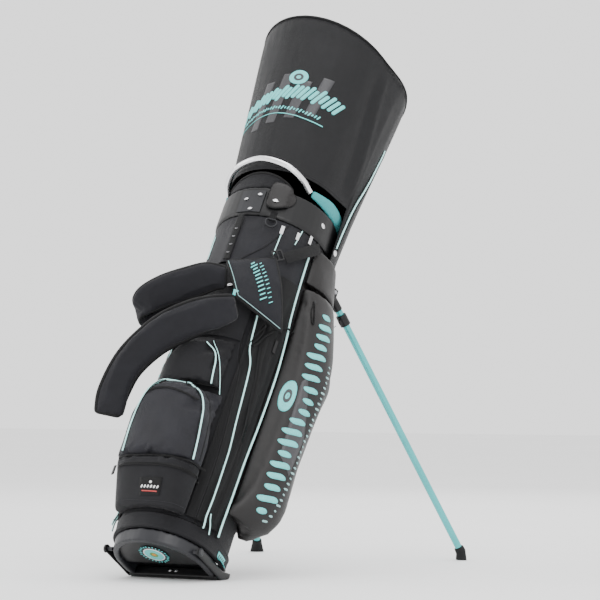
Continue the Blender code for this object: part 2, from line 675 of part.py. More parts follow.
def make_legs():
    forks = []
    for side, word in ((1, "right"), (-1, "left")):
        pivot, along, length, out, axis = leg_frame(side)
        cap = turned("leg_cap_" + word, "moulded_black", pivot, along,
                     [(-0.0080, 0.0060), (-0.0060, 0.0092), (0.040, 0.0100), (0.042, 0.0092)], 14, pivot)
        tube("leg_tube_" + word, "teal_anodised",
             [pivot + along * 0.0425, pivot + along * (length - 0.034)], LEG_R, 14, pivot)
        collar = turned("leg_collar_" + word, "moulded_black", pivot, along,
                        [(COLLAR_AT - 0.013, 0.0118), (COLLAR_AT + 0.013, 0.0118)], 14, pivot)
        under = (-out + along * along.dot(out)).normalized()
        lug = block("collar_lug_" + word, "moulded_black", pivot + along * COLLAR_AT + under * 0.0125,
                    (along, axis, under), (0.005, 0.0025, 0.0030))
        boolean(collar, lug, "UNION")
        bore = turned("collar_bore_" + word, "moulded_black", pivot, along,
                      [(COLLAR_AT - 0.03, LEG_R + GAP), (COLLAR_AT + 0.03, LEG_R + GAP)], 14)
        boolean(collar, bore, "DIFFERENCE")
        make_foot(side, word)

        hole = turned("pin_hole_" + word, "moulded_black", pivot - axis * 0.025, axis,
                      [(0.0, 0.0030), (0.050, 0.0030)], 10)
        boolean(cap, hole, "DIFFERENCE")
        forks.append(section_loft("leg_clevis_" + word, "moulded_black", clevis_sections(side)))
        boolean(forks[-1], hole, "DIFFERENCE")
        turned("leg_pin_" + word, "steel", pivot - axis * 0.0190, axis,
               [(0.0, 0.0040), (0.0026, 0.0050), (0.0026, 0.0026), (0.0354, 0.0026),
                (0.0354, 0.0050), (0.0380, 0.0040)], 10)
        opened, folded, rod_top = strut_ends(side)
        reach = (opened - rod_top)
        tube("strut_wire_" + word, "steel",
             [rod_top + reach.normalized() * 0.0035, opened - reach.normalized() * 0.0100],
             0.0013, 6, rod_top)

    bracket = sector("leg_bracket", "moulded_black", steps(44, 136, 12), [0.722, 0.73, 0.768, 0.7755],
                     lambda phi, z: 0.1322, lambda phi, z: 0.1262)
    for fork in forks:
        boolean(bracket, fork, "UNION")


def make_foot(side, word):
    """Rubber foot: round where it meets the tube, spreading to a flat sole on the ground."""
    pivot, along, length, out, axis = leg_frame(side)
    start = pivot + along * (length - 0.0336)
    side_way = axis
    up_way = along.cross(side_way)
    sole = [to_bag(Vector((side * LEG_FOOT_WORLD.x + x, LEG_FOOT_WORLD.y + y, 0.0)))
            for x, y in sole_outline(side)]
    top = circle_section(start, side_way, up_way, 0.0108, len(sole))
    neck = circle_section(start + along * 0.012, side_way, up_way, 0.0118, len(sole))
    first = min(range(len(top)), key=lambda k: (top[k] - sole[0]).length)
    order = [(first + k) % len(top) for k in range(len(top))]
    if (top[order[1]] - sole[1]).length > (top[order[-1]] - sole[1]).length:
        order = [(first - k) % len(top) for k in range(len(top))]
    mid = [0.45 * neck[k] + 0.55 * s for k, s in zip(order, sole)]
    section_loft("leg_foot_" + word, "rubber_black",
                 [[top[k] for k in order], [neck[k] for k in order], mid, sole], pivot, 50.0)


def sole_outline(side):
    """Ground contact: an oval wider across the leg's heading than along it."""
    pivot, along, length, out, axis = leg_frame(side)
    heading = Vector((along.x, along.y * math.cos(LEAN) + along.z * math.sin(LEAN), 0)).normalized()
    across = Vector((-heading.y, heading.x, 0))
    shape = []
    for k in range(12):
        a = 2 * math.pi * k / 12
        p = heading * (0.0110 * math.cos(a) - 0.010) + across * 0.0165 * math.sin(a)
        shape.append((p.x, p.y))
    return shape


def make_rods():
    """Two rods joined by a cross bar that the foot lever pushes, and the guides that hold them."""
    opened, folded, top = strut_ends(1)
    low = ROD_LOW
    bend = 0.008
    route = [(ROD_X, ROD_Y, top.z), (ROD_X, ROD_Y, 0.4), (ROD_X, ROD_Y, 0.2),
             (ROD_X, ROD_Y, low + bend), (ROD_X - bend * 0.3, ROD_Y, low + bend * 0.3),
             (ROD_X - bend, ROD_Y, low)]
    route += [(-x, y, z) for x, y, z in reversed(route)]
    tube("actuator_rod", "steel", route, 0.0020, 8, pivot=(0, ROD_Y, low))
    for word, z in (("upper", 0.510), ("lower", 0.150)):
        guide = sector("rod_guide_" + word, "moulded_black", steps(60, 120, 8), [z, z + 0.014],
                       lambda phi, h: 0.1335 / max(0.95, math.sin(math.radians(phi)) ** 0.5),
                       lambda phi, h: 0.1270)
        for side in (-1, 1):
            lug = block("guide_lug_%s_%d" % (word, side), "moulded_black",
                        (side * ROD_X, ROD_Y, z + 0.007), XYZ, (0.006, 0.0060, 0.007))
            boolean(guide, lug, "UNION")
            bore = turned("guide_bore_%s_%d" % (word, side), "moulded_black",
                          Vector((side * ROD_X, ROD_Y, z - 0.01)), Vector((0, 0, 1)),
                          [(0.0, 0.0026), (0.034, 0.0026)], 10)
            boolean(guide, bore, "DIFFERENCE")
    sector("spine_panel", "nylon_black", steps(56, 124, 8), [0.100, 0.30, 0.50, 0.715],
           lambda phi, z: on_tube(phi, z) + 0.0030, on_tube, 60.0)


# ---------------------------------------------------------------- zip pulls and webbing
def make_pulls():
    """Flat pulls hanging from zip sliders: (name, phi, top of pull, length, height above tube)."""
    for name, phi, z, length, lift in PULLS:
        out = Vector(polar(phi, 1, 0))
        side = Vector((0, 0, 1)).cross(out)
        at = Vector(polar(phi, on_tube(0, z) + lift, z))
        block(name, "silver" if "upper" in name else "moulded_black",
              at - Vector((0, 0, length / 2)), (side, Vector((0, 0, 1)), out),
              (0.0036, length / 2, 0.0011), pivot=at)


def make_webbing():
    rows = []
    for t in steps(0.0, 1.0, 4):
        phi = -40.0 + 30.0 * t
        rows.append((polar(phi, 0.1400, 0.6855 + 0.070 * t), Vector((0, 0, 0.022))
                     - Vector((0.0, 0.010, 0.0))))
    strip("strap_webbing", "nylon_black", rows, 0.0022, 8, 0.2)
    out = Vector(polar(-45, 1, 0))
    side = (Vector((0, 0, 1)).cross(out) + Vector((0, 0, 0.75))).normalized()
    up = out.cross(side)
    frame = block("strap_buckle", "moulded_black", Vector(polar(-46.5, 0.1398, 0.6840)),
                  (side, up, out), (0.0125, 0.0125, 0.0020))
    for k in (-1, 1):
        slot = block("buckle_slot_%d" % k, "moulded_black",
                     Vector(polar(-46.5, 0.1398, 0.6840)) + side * 0.0052 * k, (side, up, out),
                     (0.0034, 0.0092, 0.0050))
        boolean(frame, slot, "DIFFERENCE")
    belt = sector("front_belt", "nylon_black", steps(-97, -88, 3), [0.6560, 0.70, 0.74, 0.7740],
                  lambda phi, z: on_tube(phi, z) + 0.0105, lambda phi, z: on_tube(phi, z) + 0.0082)
    return belt


# ---------------------------------------------------------------- hood
def hood_reach(phi):
    """0 on the front of the hood, 1 on the leg side, where it hangs outside the cuff."""
    away = abs((phi - 90.0 + 180.0) % 360.0 - 180.0)
    return smooth((100.0 - away) / 35.0)


def hood_edge(phi):
    away = abs((phi - 90.0 + 180.0) % 360.0 - 180.0)
    if away <= 78.0:
        return HOOD_BACK_EDGE
    return HOOD_FRONT_EDGE


def hood_radius(phi, z):
    front = 0.1280 + 0.0993 * (z - 0.90)
    back = max(front + 0.0215, 0.1440 + 0.05 * (z - 0.80))
    w = hood_reach(phi)
    r = front * (1 - w) + back * w
    if z < 0.91 and hood_edge(phi) < 0.80:
        r = max(r, 0.1385)
    return r


def hood_roof(phi):
    return HOOD_TOP - 0.034 * math.cos(math.radians(phi - 60.0))


def make_hood_roof(phis):
    """Domed top panel, standing on the side wall's upper edge."""
    dome = [(1.0, GAP - HOOD_SEAM), (1.0, -0.006), (0.975, 0.002), (0.90, 0.008), (0.60, 0.020),
            (0.25, 0.026)]

    def panel(inset):
        def point(i, j):
            share, rise = dome[j]
            rim = hood_radius(phis[i], hood_roof(phis[i]) - HOOD_SEAM)
            level = HOOD_TOP + (hood_roof(phis[i]) - HOOD_TOP) * share + rise
            return polar(phis[i], (rim - inset) * share, level - (inset if j else 0.0))
        return point

    rows, cols = len(phis), len(dome)
    verts, faces = slab(panel(0.0), panel(HOOD_WALL), rows, cols, wrap=True)
    last, half = cols - 1, rows * cols
    around = [(i * cols + last, (i + 1) % rows * cols + last) for i in range(rows)]
    joins = {frozenset((a, b, half + a, half + b)) for a, b in around}
    faces = [f for f in faces if frozenset(f) not in joins]
    faces.append([a for a, _ in around])
    faces.append([half + a for a, _ in reversed(around)])
    add("hood_roof", "hood_fabric", verts, faces, sharp=50.0)


def make_hood():
    phis = [12.0 + 156.0 * k / 16 for k in range(17)] + [170.0 + 200.0 * k / 22 for k in range(23)]
    heights = steps(0.0, 1.0, 7)

    def wall(inset):
        def point(i, j):
            low, top = hood_edge(phis[i]), hood_roof(phis[i]) - HOOD_SEAM
            z = low + (top - low) * heights[j]
            return polar(phis[i], hood_radius(phis[i], z) - inset, z)
        return point

    verts, faces = slab(wall(0.0), wall(HOOD_WALL), len(phis), len(heights), wrap=True)
    add("hood_shell", "hood_fabric", verts, faces, sharp=50.0)
    make_hood_roof(phis)
    top = Vector(polar(-100, 0.130, hood_roof(-100) + 0.0128))
    block("hood_tab", "nylon_black", top + Vector((0, 0, 0.010)),
          (Vector(polar(-10, 1, 0)), Vector((0, 0, 1)), Vector(polar(-100, 1, 0))),
          (0.008, 0.007, 0.0012))


clear_scene()
FRAME = make_frame()
make_base()
make_foot_lever()
make_lever_pins()
make_tube()
make_cuff()
make_divider()
make_handle()
make_cuff_trim()
make_side_pockets()
make_front_pockets()
make_strap()
make_legs()
make_rods()
make_pulls()
make_webbing()
make_hood()
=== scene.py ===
"""Looks of the golf stand bag: padded fabrics, seams, zips, piping, webbing and plain graphics.

Shapes are worked out in the bag frame: origin under the base, +z up the bag's axis, +y to the
legs, +x to the bag's right. Places on the bag are (phi, z): an angle in degrees from +x, a height.
"""
import json
import math

import bmesh
import bpy
from mathutils import Matrix, Vector, noise
from mathutils.bvhtree import BVHTree


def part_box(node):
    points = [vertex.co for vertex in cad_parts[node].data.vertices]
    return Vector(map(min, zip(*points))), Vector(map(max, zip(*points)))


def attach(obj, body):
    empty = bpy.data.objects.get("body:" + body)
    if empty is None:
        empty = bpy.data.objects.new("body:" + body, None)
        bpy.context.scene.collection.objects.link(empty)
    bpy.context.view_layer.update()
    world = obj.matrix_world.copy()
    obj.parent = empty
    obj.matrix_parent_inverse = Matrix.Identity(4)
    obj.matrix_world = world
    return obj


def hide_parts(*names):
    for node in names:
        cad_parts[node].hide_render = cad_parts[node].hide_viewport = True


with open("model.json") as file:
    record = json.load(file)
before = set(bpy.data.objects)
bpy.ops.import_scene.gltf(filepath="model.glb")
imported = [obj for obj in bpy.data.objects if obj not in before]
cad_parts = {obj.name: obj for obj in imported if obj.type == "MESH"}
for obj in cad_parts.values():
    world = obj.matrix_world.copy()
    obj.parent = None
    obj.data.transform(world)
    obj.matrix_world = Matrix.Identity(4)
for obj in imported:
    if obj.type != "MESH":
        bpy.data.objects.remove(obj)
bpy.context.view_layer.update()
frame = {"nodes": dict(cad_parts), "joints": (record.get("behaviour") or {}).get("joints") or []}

JOINTS = {joint["name"]: joint for joint in frame["joints"]}
UP = Vector(JOINTS["hood_lift"]["axis"])
RIGHT = Vector((1.0, 0.0, 0.0))
BACK = UP.cross(RIGHT)
UP_Z = Vector((0.0, 0.0, 1.0))
LEVER_PIVOT = Vector((0.0, -0.045, 0.009))     # the foot lever's axle in the bag frame
ORIGIN = Vector(JOINTS["foot_lever_turn"]["pos_m"]) - BACK * LEVER_PIVOT.y - UP * LEVER_PIVOT.z
BAG = Matrix((RIGHT, BACK, UP)).transposed().to_4x4()
BAG.translation = ORIGIN
TO_BAG = BAG.inverted()

RADIUS = 0.122                                 # mean radius of the bag
DEGREE = RADIUS * math.pi / 180                # length of one degree round it
AFAR = 0.40                                    # radius outside everything, where rays start


# ================================================================ materials
class Shader:
    """A Principled material and the small node graph that feeds it."""

    def __init__(self, name, colour, roughness, metallic=0.0):
        self.material = bpy.data.materials.new(name)
        self.material.use_nodes = True
        self.tree = self.material.node_tree
        self.main = self.tree.nodes["Principled BSDF"]
        self.main.inputs["Base Color"].default_value = (*colour, 1.0)
        self.main.inputs["Roughness"].default_value = roughness
        self.main.inputs["Metallic"].default_value = metallic
        self.colour = colour
        frame_of_bag = self.node("ShaderNodeMapping", vector_type="TEXTURE")
        frame_of_bag.inputs["Location"].default_value = ORIGIN
        frame_of_bag.inputs["Rotation"].default_value = BAG.to_euler()
        self.feed(frame_of_bag, "Vector", self.node("ShaderNodeTexCoord").outputs["Object"])
        self.place = frame_of_bag.outputs[0]

    def node(self, kind, **settings):
        made = self.tree.nodes.new(kind)
        for key, value in settings.items():
            setattr(made, key, value)
        return made

    def feed(self, node, key, value):
        if isinstance(value, (int, float, tuple)):
            node.inputs[key].default_value = value
        else:
            self.tree.links.new(value, node.inputs[key])

    def math(self, operation, a, b=0.0, c=0.0):
        made = self.node("ShaderNodeMath", operation=operation)
        for k, value in enumerate((a, b, c)):
            self.feed(made, k, value)
        return made.outputs[0]

    def noise(self, scale, detail=3.0, stretch=None):
        place = self.place
        if stretch:
            mapping = self.node("ShaderNodeMapping")
            mapping.inputs["Scale"].default_value = stretch
            self.feed(mapping, "Vector", place)
            place = mapping.outputs[0]
        made = self.node("ShaderNodeTexNoise")
        self.feed(made, "Vector", place)
        self.feed(made, "Scale", scale)
        self.feed(made, "Detail", detail)
        return made.outputs["Fac"]

    def cells(self, scale):
        made = self.node("ShaderNodeTexVoronoi")
        self.feed(made, "Vector", self.place)
        self.feed(made, "Scale", scale)
        return made.outputs["Distance"]

    def wrapped(self):
        """Two lengths in metres on the bag: round it and along it."""
        split = self.node("ShaderNodeSeparateXYZ")
        self.feed(split, 0, self.place)
        angle = self.math("ARCTAN2", split.outputs[1], split.outputs[0])
        return self.math("MULTIPLY", angle, RADIUS), split.outputs[2]

    def weave(self, pitch, slant=0.0):
        """Height of a plain weave with threads `pitch` apart; slant turns it into a twill."""
        u, v = self.wrapped()
        across = self.math("ADD", u, self.math("MULTIPLY", v, slant))
        k = 2 * math.pi / pitch
        a = self.math("SINE", self.math("MULTIPLY", across, k))
        b = self.math("SINE", self.math("MULTIPLY", v, k))
        return self.math("MULTIPLY", a, b)

    def bump(self, height, distance, strength=1.0, after=None):
        made = self.node("ShaderNodeBump")
        self.feed(made, "Height", height)
        self.feed(made, "Distance", distance)
        self.feed(made, "Strength", strength)
        if after is not None:
            self.feed(made, "Normal", after)
        self.feed(self.main, "Normal", made.outputs[0])
        return made.outputs[0]

    def ramp(self, factor, low, high, at=(0.35, 0.7)):
        made = self.node("ShaderNodeValToRGB")
        made.color_ramp.elements[0].position = at[0]
        made.color_ramp.elements[1].position = at[1]
        made.color_ramp.elements[0].color = (*low, 1.0)
        made.color_ramp.elements[1].color = (*high, 1.0)
        self.feed(made, 0, factor)
        return made.outputs[0]

    def mottle(self, factor, amount, at=(0.35, 0.7)):
        """Vary the base colour by a share either way."""
        low = tuple(c * (1 - amount) for c in self.colour)
        high = tuple(min(1.0, c * (1 + amount)) for c in self.colour)
        self.feed(self.main, "Base Color", self.ramp(factor, low, high, at))

    def rough(self, factor, low, high):
        made = self.node("ShaderNodeMapRange")
        self.feed(made, "Value", factor)
        self.feed(made, "To Min", low)
        self.feed(made, "To Max", high)
        self.feed(self.main, "Roughness", made.outputs[0])

    def set(self, key, value):
        self.main.inputs[key].default_value = value
        return self


def woven(name, colour, roughness, pitch, slant=0.0, sheen=0.06, depth=0.00025, spread=0.16):
    s = Shader(name, colour, roughness)
    s.set("Specular IOR Level", 0.22)
    s.mottle(s.noise(22.0, 4.0), spread)
    s.rough(s.noise(60.0, 2.0), roughness - 0.07, roughness + 0.08)
    soft = s.bump(s.noise(9.0, 2.0, (1.0, 1.0, 0.5)), 0.004, 0.35)
    s.bump(s.weave(pitch, slant), depth, 0.8, soft)
    s.set("Sheen Weight", sheen).set("Sheen Roughness", 0.45)
    return s.material


def grained(name, colour, roughness, scale=900.0, depth=0.0003, coat=0.0):
    """Coated fabric or leather-like film with a pebbled grain."""
    s = Shader(name, colour, roughness)
    s.set("Specular IOR Level", 0.35)
    s.mottle(s.noise(14.0, 5.0), 0.18)
    s.rough(s.noise(45.0, 3.0), roughness - 0.06, roughness + 0.10)
    soft = s.bump(s.noise(11.0, 3.0, (1.0, 1.0, 0.4)), 0.005, 0.45)
    s.bump(s.cells(scale), depth, 0.7, soft)
    s.set("Coat Weight", coat).set("Coat Roughness", 0.35)
    return s.material


def moulded(name, colour, roughness, grain=1400.0):
    s = Shader(name, colour, roughness)
    s.set("Specular IOR Level", 0.35)
    s.mottle(s.noise(35.0, 4.0), 0.10)
    s.rough(s.noise(80.0, 3.0), roughness - 0.06, roughness + 0.08)
    s.bump(s.noise(grain, 1.0), 0.00012, 0.6)
    return s.material


def knitted(name, colour, roughness):
    """Spacer mesh or padded knit: rows of small round loops."""
    s = Shader(name, colour, roughness)
    loops = s.weave(0.0030, 0.5)
    s.set("Specular IOR Level", 0.20)
    s.mottle(s.math("MULTIPLY_ADD", loops, 0.35, 0.5), 0.35, (0.25, 0.75))
    soft = s.bump(s.noise(14.0, 2.0), 0.003, 0.4)
    s.bump(loops, 0.0006, 0.8, soft)
    s.set("Sheen Weight", 0.05)
    return s.material


def metal(name, colour, roughness, along=(1.0, 1.0, 0.02)):
    s = Shader(name, colour, roughness, 1.0)
    s.mottle(s.noise(30.0, 3.0), 0.05)
    s.rough(s.noise(900.0, 2.0, along), roughness - 0.05, roughness + 0.10)
    s.bump(s.noise(1500.0, 1.0, along), 0.00004, 0.5)
    return s.material


def anodised(name, colour, roughness):
    """Coloured tube: lacquered metal with fine drawing lines along it."""
    s = Shader(name, colour, roughness, 0.35)
    s.mottle(s.noise(26.0, 3.0), 0.06)
    s.rough(s.noise(700.0, 2.0, (1.0, 1.0, 0.03)), roughness - 0.05, roughness + 0.08)
    s.bump(s.noise(1300.0, 1.0, (1.0, 1.0, 0.02)), 0.00005, 0.5)
    s.set("Coat Weight", 0.5).set("Coat Roughness", 0.15)
    return s.material


def printed(name, colour, roughness):
    """Ink or film on fabric, with tiny gaps in its colour."""
    s = Shader(name, colour, roughness)
    s.mottle(s.noise(420.0, 3.0), 0.10)
    s.bump(s.weave(0.0011), 0.0001, 0.5)
    return s.material


FINISHES = {name: kind(name, *values) for name, kind, *values in (
    ("hood_cloth", woven, (0.0050, 0.0050, 0.0060), 0.52, 0.0009, 0.0, 0.05, 0.00012, 0.12),
    ("nylon", woven, (0.0058, 0.0058, 0.0075), 0.62, 0.0013),
    ("nylon_grey", woven, (0.0115, 0.0115, 0.0155), 0.60, 0.0013, 0.0, 0.08),
    ("nylon_panel", woven, (0.0080, 0.0080, 0.0110), 0.60, 0.0014, 0.5, 0.07),
    ("pad_cloth", woven, (0.0058, 0.0060, 0.0095), 0.60, 0.0012, 0.0, 0.06),
    ("webbing", woven, (0.0030, 0.0030, 0.0036), 0.60, 0.0022, 1.0, 0.04, 0.0005),
    ("neoprene", woven, (0.0085, 0.0085, 0.0112), 0.75, 0.0008, 0.0, 0.12, 0.00008, 0.08),
    ("binding", woven, (0.0022, 0.0022, 0.0026), 0.55, 0.0016, 1.0, 0.04),
    ("mesh", knitted, (0.0026, 0.0026, 0.0032), 0.70),
    ("film", grained, (0.0062, 0.0052, 0.0053), 0.42, 850.0, 0.0003, 0.06),
    ("black_plastic", moulded, (0.0040, 0.0040, 0.0046), 0.40),
    ("grey_plastic", moulded, (0.0150, 0.0155, 0.0185), 0.38),
    ("gunmetal", moulded, (0.0150, 0.0155, 0.0180), 0.34),
    ("rubber", moulded, (0.0060, 0.0060, 0.0066), 0.80, 700.0),
    ("rim_pad", knitted, (0.0500, 0.3200, 0.3350), 0.75),
    ("piping", woven, (0.5600, 0.9600, 0.9300), 0.55, 0.0010, 1.0, 0.10, 0.0001, 0.05),
    ("piping_dark", woven, (0.0026, 0.0026, 0.0030), 0.50, 0.0010, 1.0, 0.04),
    ("ink", printed, (0.1250, 0.6000, 0.5900), 0.45),
    ("ink_ghost", printed, (0.0360, 0.0360, 0.0400), 0.38),
    ("ink_pale", printed, (0.3000, 0.5200, 0.5200), 0.45),
    ("ink_white", printed, (0.8000, 0.8100, 0.8100), 0.45),
    ("ink_red", printed, (0.4200, 0.0400, 0.0350), 0.50),
    ("ink_amber", printed, (0.7600, 0.2600, 0.0350), 0.40),
    ("ink_green", printed, (0.1200, 0.3200, 0.0700), 0.40),
    ("thread", woven, (0.0240, 0.0240, 0.0280), 0.60, 0.0008),
    ("teal_tube", anodised, (0.0500, 0.4500, 0.4550), 0.30),
    ("silver", metal, (0.8200, 0.8200, 0.8350), 0.24),
    ("steel", metal, (0.4000, 0.4000, 0.4200), 0.30),
    ("zip_coil", moulded, (0.0026, 0.0026, 0.0030), 0.35),
    ("velour", knitted, (0.0050, 0.0050, 0.0060), 0.85),
)}


# ================================================================ places on the bag
def polar(phi, r, z):
    a = math.radians(phi)
    return Vector((r * math.cos(a), r * math.sin(a), z))


def smooth(t):
    t = min(1.0, max(0.0, t))
    return t * t * (3 - 2 * t)


def steps(low, high, count):
    return [low + (high - low) * i / count for i in range(count + 1)]


def near(values, k, reach=1):
    """The k-th value of a list and its neighbours."""
    return values[max(0, k - reach):k + reach + 1]


def curve(route, count):
    """Points of a smooth curve through the route, evenly spaced in its parameter."""
    route = [Vector(p) for p in route]
    ends = [2 * route[0] - route[1]] + route + [2 * route[-1] - route[-2]]
    spans = len(route) - 1
    result = []
    for k in range(count + 1):
        t = spans * k / count
        s = min(int(t), spans - 1)
        u = t - s
        a, b, c, d = ends[s:s + 4]
        result.append(0.5 * (2 * b + (c - a) * u + (2 * a - 5 * b + 4 * c - d) * u * u
                             + (3 * b - a - 3 * c + d) * u ** 3))
    return result


def even(points, spacing):
    """The same path, resampled at even spacing."""
    total = sum((b - a).length for a, b in zip(points, points[1:]))
    count = max(2, round(total / spacing))
    result = [points[0].copy()]
    goal, walked = total / count, 0.0
    for a, b in zip(points, points[1:]):
        length = (b - a).length
        while length and walked + length >= goal * len(result) - 1e-9 and len(result) < count:
            result.append(a.lerp(b, (goal * len(result) - walked) / length))
        walked += length
    return result + [points[-1].copy()]


class Surface:
    """The outside of some pieces, to lay details on."""

    def __init__(self, objects):
        self.trees = []
        for obj in objects:
            build = bmesh.new()
            build.from_mesh(obj.data)
            build.transform(TO_BAG @ obj.matrix_world)
            self.trees.append(BVHTree.FromBMesh(build))
            build.free()

    def shoot(self, start, direction):
        best = None
        for tree in self.trees:
            place, normal, _, distance = tree.ray_cast(start, direction)
            if place is not None and (best is None or distance < best[2]):
                best = (place, normal if normal.dot(direction) < 0 else -normal, distance)
        return best

    def at(self, phi, z):
        """Point and normal of the outside at an angle and a height."""
        out = polar(phi, 1.0, 0.0)
        found = self.shoot(polar(phi, AFAR, z), -out)
        if found is None:
            return polar(phi, RADIUS, z), out
        return found[0], found[1]

    def path(self, route, spacing=0.004, lift=0.0, reach=0):
        """Points with normals along a smooth route of (phi, z) over the outside.

        With a reach, the path is stretched over hollows narrower than that many steps.
        """
        flat = curve([(phi * DEGREE, z, 0.0) for phi, z in route], 24 * (len(route) - 1))
        spots = [(p.x / DEGREE, p.y) for p in even(flat, spacing)]
        found = [self.at(phi, z) for phi, z in spots]
        if reach:
            rs = [math.hypot(p.x, p.y) for p, _ in found]
            rs = [max(near(rs, k, reach)) for k in range(len(rs))]
            for _ in range(reach + 1):
                rs = [sum(near(rs, k)) / len(near(rs, k)) for k in range(len(rs))]
            normals = [n for _, n in found]
            for _ in range(3):
                normals = [sum(near(normals, k), Vector()).normalized() for k in range(len(normals))]
            found = [(polar(phi, r, z), n) for (phi, z), r, n in zip(spots, rs, normals)]
        return [(p + n * lift, n) for p, n in found]


# ================================================================ mesh building
def linked(name, data):
    """A new object in the scene."""
    made = bpy.data.objects.new(name, data)
    bpy.context.scene.collection.objects.link(made)
    return made


def make(name, verts, faces, finish, body="bag", replaces=(), sharp=40.0):
    """A piece from vertices in the bag frame that rides on a body."""
    mesh = bpy.data.meshes.new(name)
    mesh.from_pydata([tuple(BAG @ v) for v in verts], [], faces)
    tidy = bmesh.new()
    tidy.from_mesh(mesh)
    bmesh.ops.recalc_face_normals(tidy, faces=tidy.faces)
    tidy.to_mesh(mesh)
    tidy.free()
    mesh.shade_smooth()
    mesh.set_sharp_from_angle(angle=math.radians(sharp))
    return dress(linked(name, mesh), finish, body, replaces)


def dress(piece, finish, body, replaces=()):
    piece.data.materials.clear()
    piece.data.materials.append(FINISHES[finish])
    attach(piece, body)
    if replaces:
        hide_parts(*replaces)
    return piece


def slab_faces(rows, cols, closed=False, hems=None):
    """Faces of two grids of points, one under the other, and of the edges that join them."""
    half = rows * cols
    faces = []
    for i in range(rows if closed else rows - 1):
        k = (i + 1) % rows
        for j in range(cols - 1):
            quad = [i * cols + j, k * cols + j, k * cols + j + 1, i * cols + j + 1]
            faces += [quad, [half + q for q in reversed(quad)]]
        for j in hems or (0, cols - 1):
            faces.append([i * cols + j, k * cols + j, half + k * cols + j, half + i * cols + j])
    for i in () if closed else (0, rows - 1):
        for j in range(cols - 1):
            faces.append([i * cols + j, i * cols + j + 1, half + i * cols + j + 1,
                          half + i * cols + j])
    return faces


class Build:
    """Vertices and faces of one piece made of many small solids."""

    def __init__(self):
        self.verts = []
        self.faces = []

    def loft(self, sections, closed=False):
        start, count = len(self.verts), len(sections[0])
        for section in sections:
            self.verts.extend(section)
        rows = len(sections)
        for s in range(rows if closed else rows - 1):
            a, b = start + s * count, start + (s + 1) % rows * count
            for c in range(count):
                d = (c + 1) % count
                self.faces.append([a + c, a + d, b + d, b + c])
        if not closed:
            self.faces.append([start + c for c in range(count)])
            self.faces.append([start + (rows - 1) * count + c for c in reversed(range(count))])
        return self

    def box(self, centre, a, b, c):
        low = [centre - a - b - c, centre + a - b - c, centre + a + b - c, centre - a + b - c]
        return self.loft([low, [p + 2 * c for p in low]])

    def turned(self, start, along, profile, count=14):
        side = along.orthogonal().normalized()
        up = along.cross(side)
        return self.loft([circle(start + along * s, side, up, r, count) for s, r in profile])

    def tube(self, points, radius, count=8, normals=None, closed=False):
        return self.loft(round_sections(points, radius, count, normals, closed), closed)

    def finish(self, name, finish, body="bag", replaces=(), sharp=40.0):
        return make(name, self.verts, self.faces, finish, body, replaces, sharp)


def circle(centre, side, up, radius, count):
    return [centre + side * radius * math.cos(2 * math.pi * k / count)
            + up * radius * math.sin(2 * math.pi * k / count) for k in range(count)]


def round_sections(points, radius, count, normals=None, closed=False):
    sections, side = [], None
    last = len(points) - 1
    for k, p in enumerate(points):
        before = points[k - 1] if k or closed else points[0]
        after = points[(k + 1) % len(points)] if k < last or closed else points[last]
        along = (after - before).normalized()
        if normals:
            side = along.cross(normals[k]).normalized()
        else:
            side = (side or along.orthogonal()).normalized()
            side = (side - along * side.dot(along)).normalized()
        r = radius(k / last) if callable(radius) else radius
        sections.append(circle(p, side, along.cross(side), r, count))
    return sections


def band_sections(places, width, thick):
    """Flat sections along places (point, normal): a strip lying on its lower face."""
    points = [p for p, _ in places]
    sections = []
    last = len(points) - 1
    for k, (p, normal) in enumerate(places):
        along = (points[min(k + 1, last)] - points[max(k - 1, 0)]).normalized()
        side = along.cross(normal).normalized()
        w = (width(k / last) if callable(width) else width) / 2
        edge = min(w * 0.3, thick)
        sections.append([p - side * w, p - side * w + normal * thick * 0.5,
                         p - side * (w - edge) + normal * thick,
                         p + side * (w - edge) + normal * thick,
                         p + side * w + normal * thick * 0.5, p + side * w])
    return sections


def piping(name, surface, route, radius=0.0017, finish="piping", body="bag", spacing=0.004):
    """A sewn cord half sunk in the seam, on a narrow dark flange."""
    places = surface.path(route, spacing, 0.0, 3)
    cord = Build().tube([p + n * radius * 0.55 for p, n in places], radius, 8, [n for _, n in places])
    cord.finish(name, finish, body, sharp=60.0)
    flange = Build().loft(band_sections([(p - n * 0.0004, n) for p, n in places], radius * 4.4, 0.0010))
    flange.finish(name + "_flange", "piping_dark", body)


def stitching(name, surface, route, pitch=0.0042, finish="thread", body="bag", lift=0.0002):
    """A row of sewn stitches: short rounded dashes."""
    places = surface.path(route, pitch, lift)
    build = Build()
    for (p, n), (q, _) in zip(places, places[1:]):
        along = (q - p).normalized()
        side = along.cross(n).normalized()
        build.box(p.lerp(q, 0.45), along * (q - p).length * 0.32, side * 0.00035, n * 0.00032)
    build.finish(name, finish, body)


def seam(name, surface, route, width=0.0030, finish="binding", body="bag"):
    """A folded seam: a low welt with a row of stitches beside it."""
    places = surface.path(route, 0.004, -0.0003)
    Build().loft(band_sections(places, width, 0.0012)).finish(name, finish, body)
    stitching(name + "_stitch", surface, shift_route(route, width / 2 + 0.0022), body=body)


def shift_route(route, offset):
    """The route moved sideways by a length on the surface."""
    moved = []
    for k, (phi, z) in enumerate(route):
        a, b = route[max(k - 1, 0)], route[min(k + 1, len(route) - 1)]
        along = Vector(((b[0] - a[0]) * DEGREE, b[1] - a[1])).normalized()
        moved.append((phi + along.y * offset / DEGREE, z - along.x * offset))
    return moved


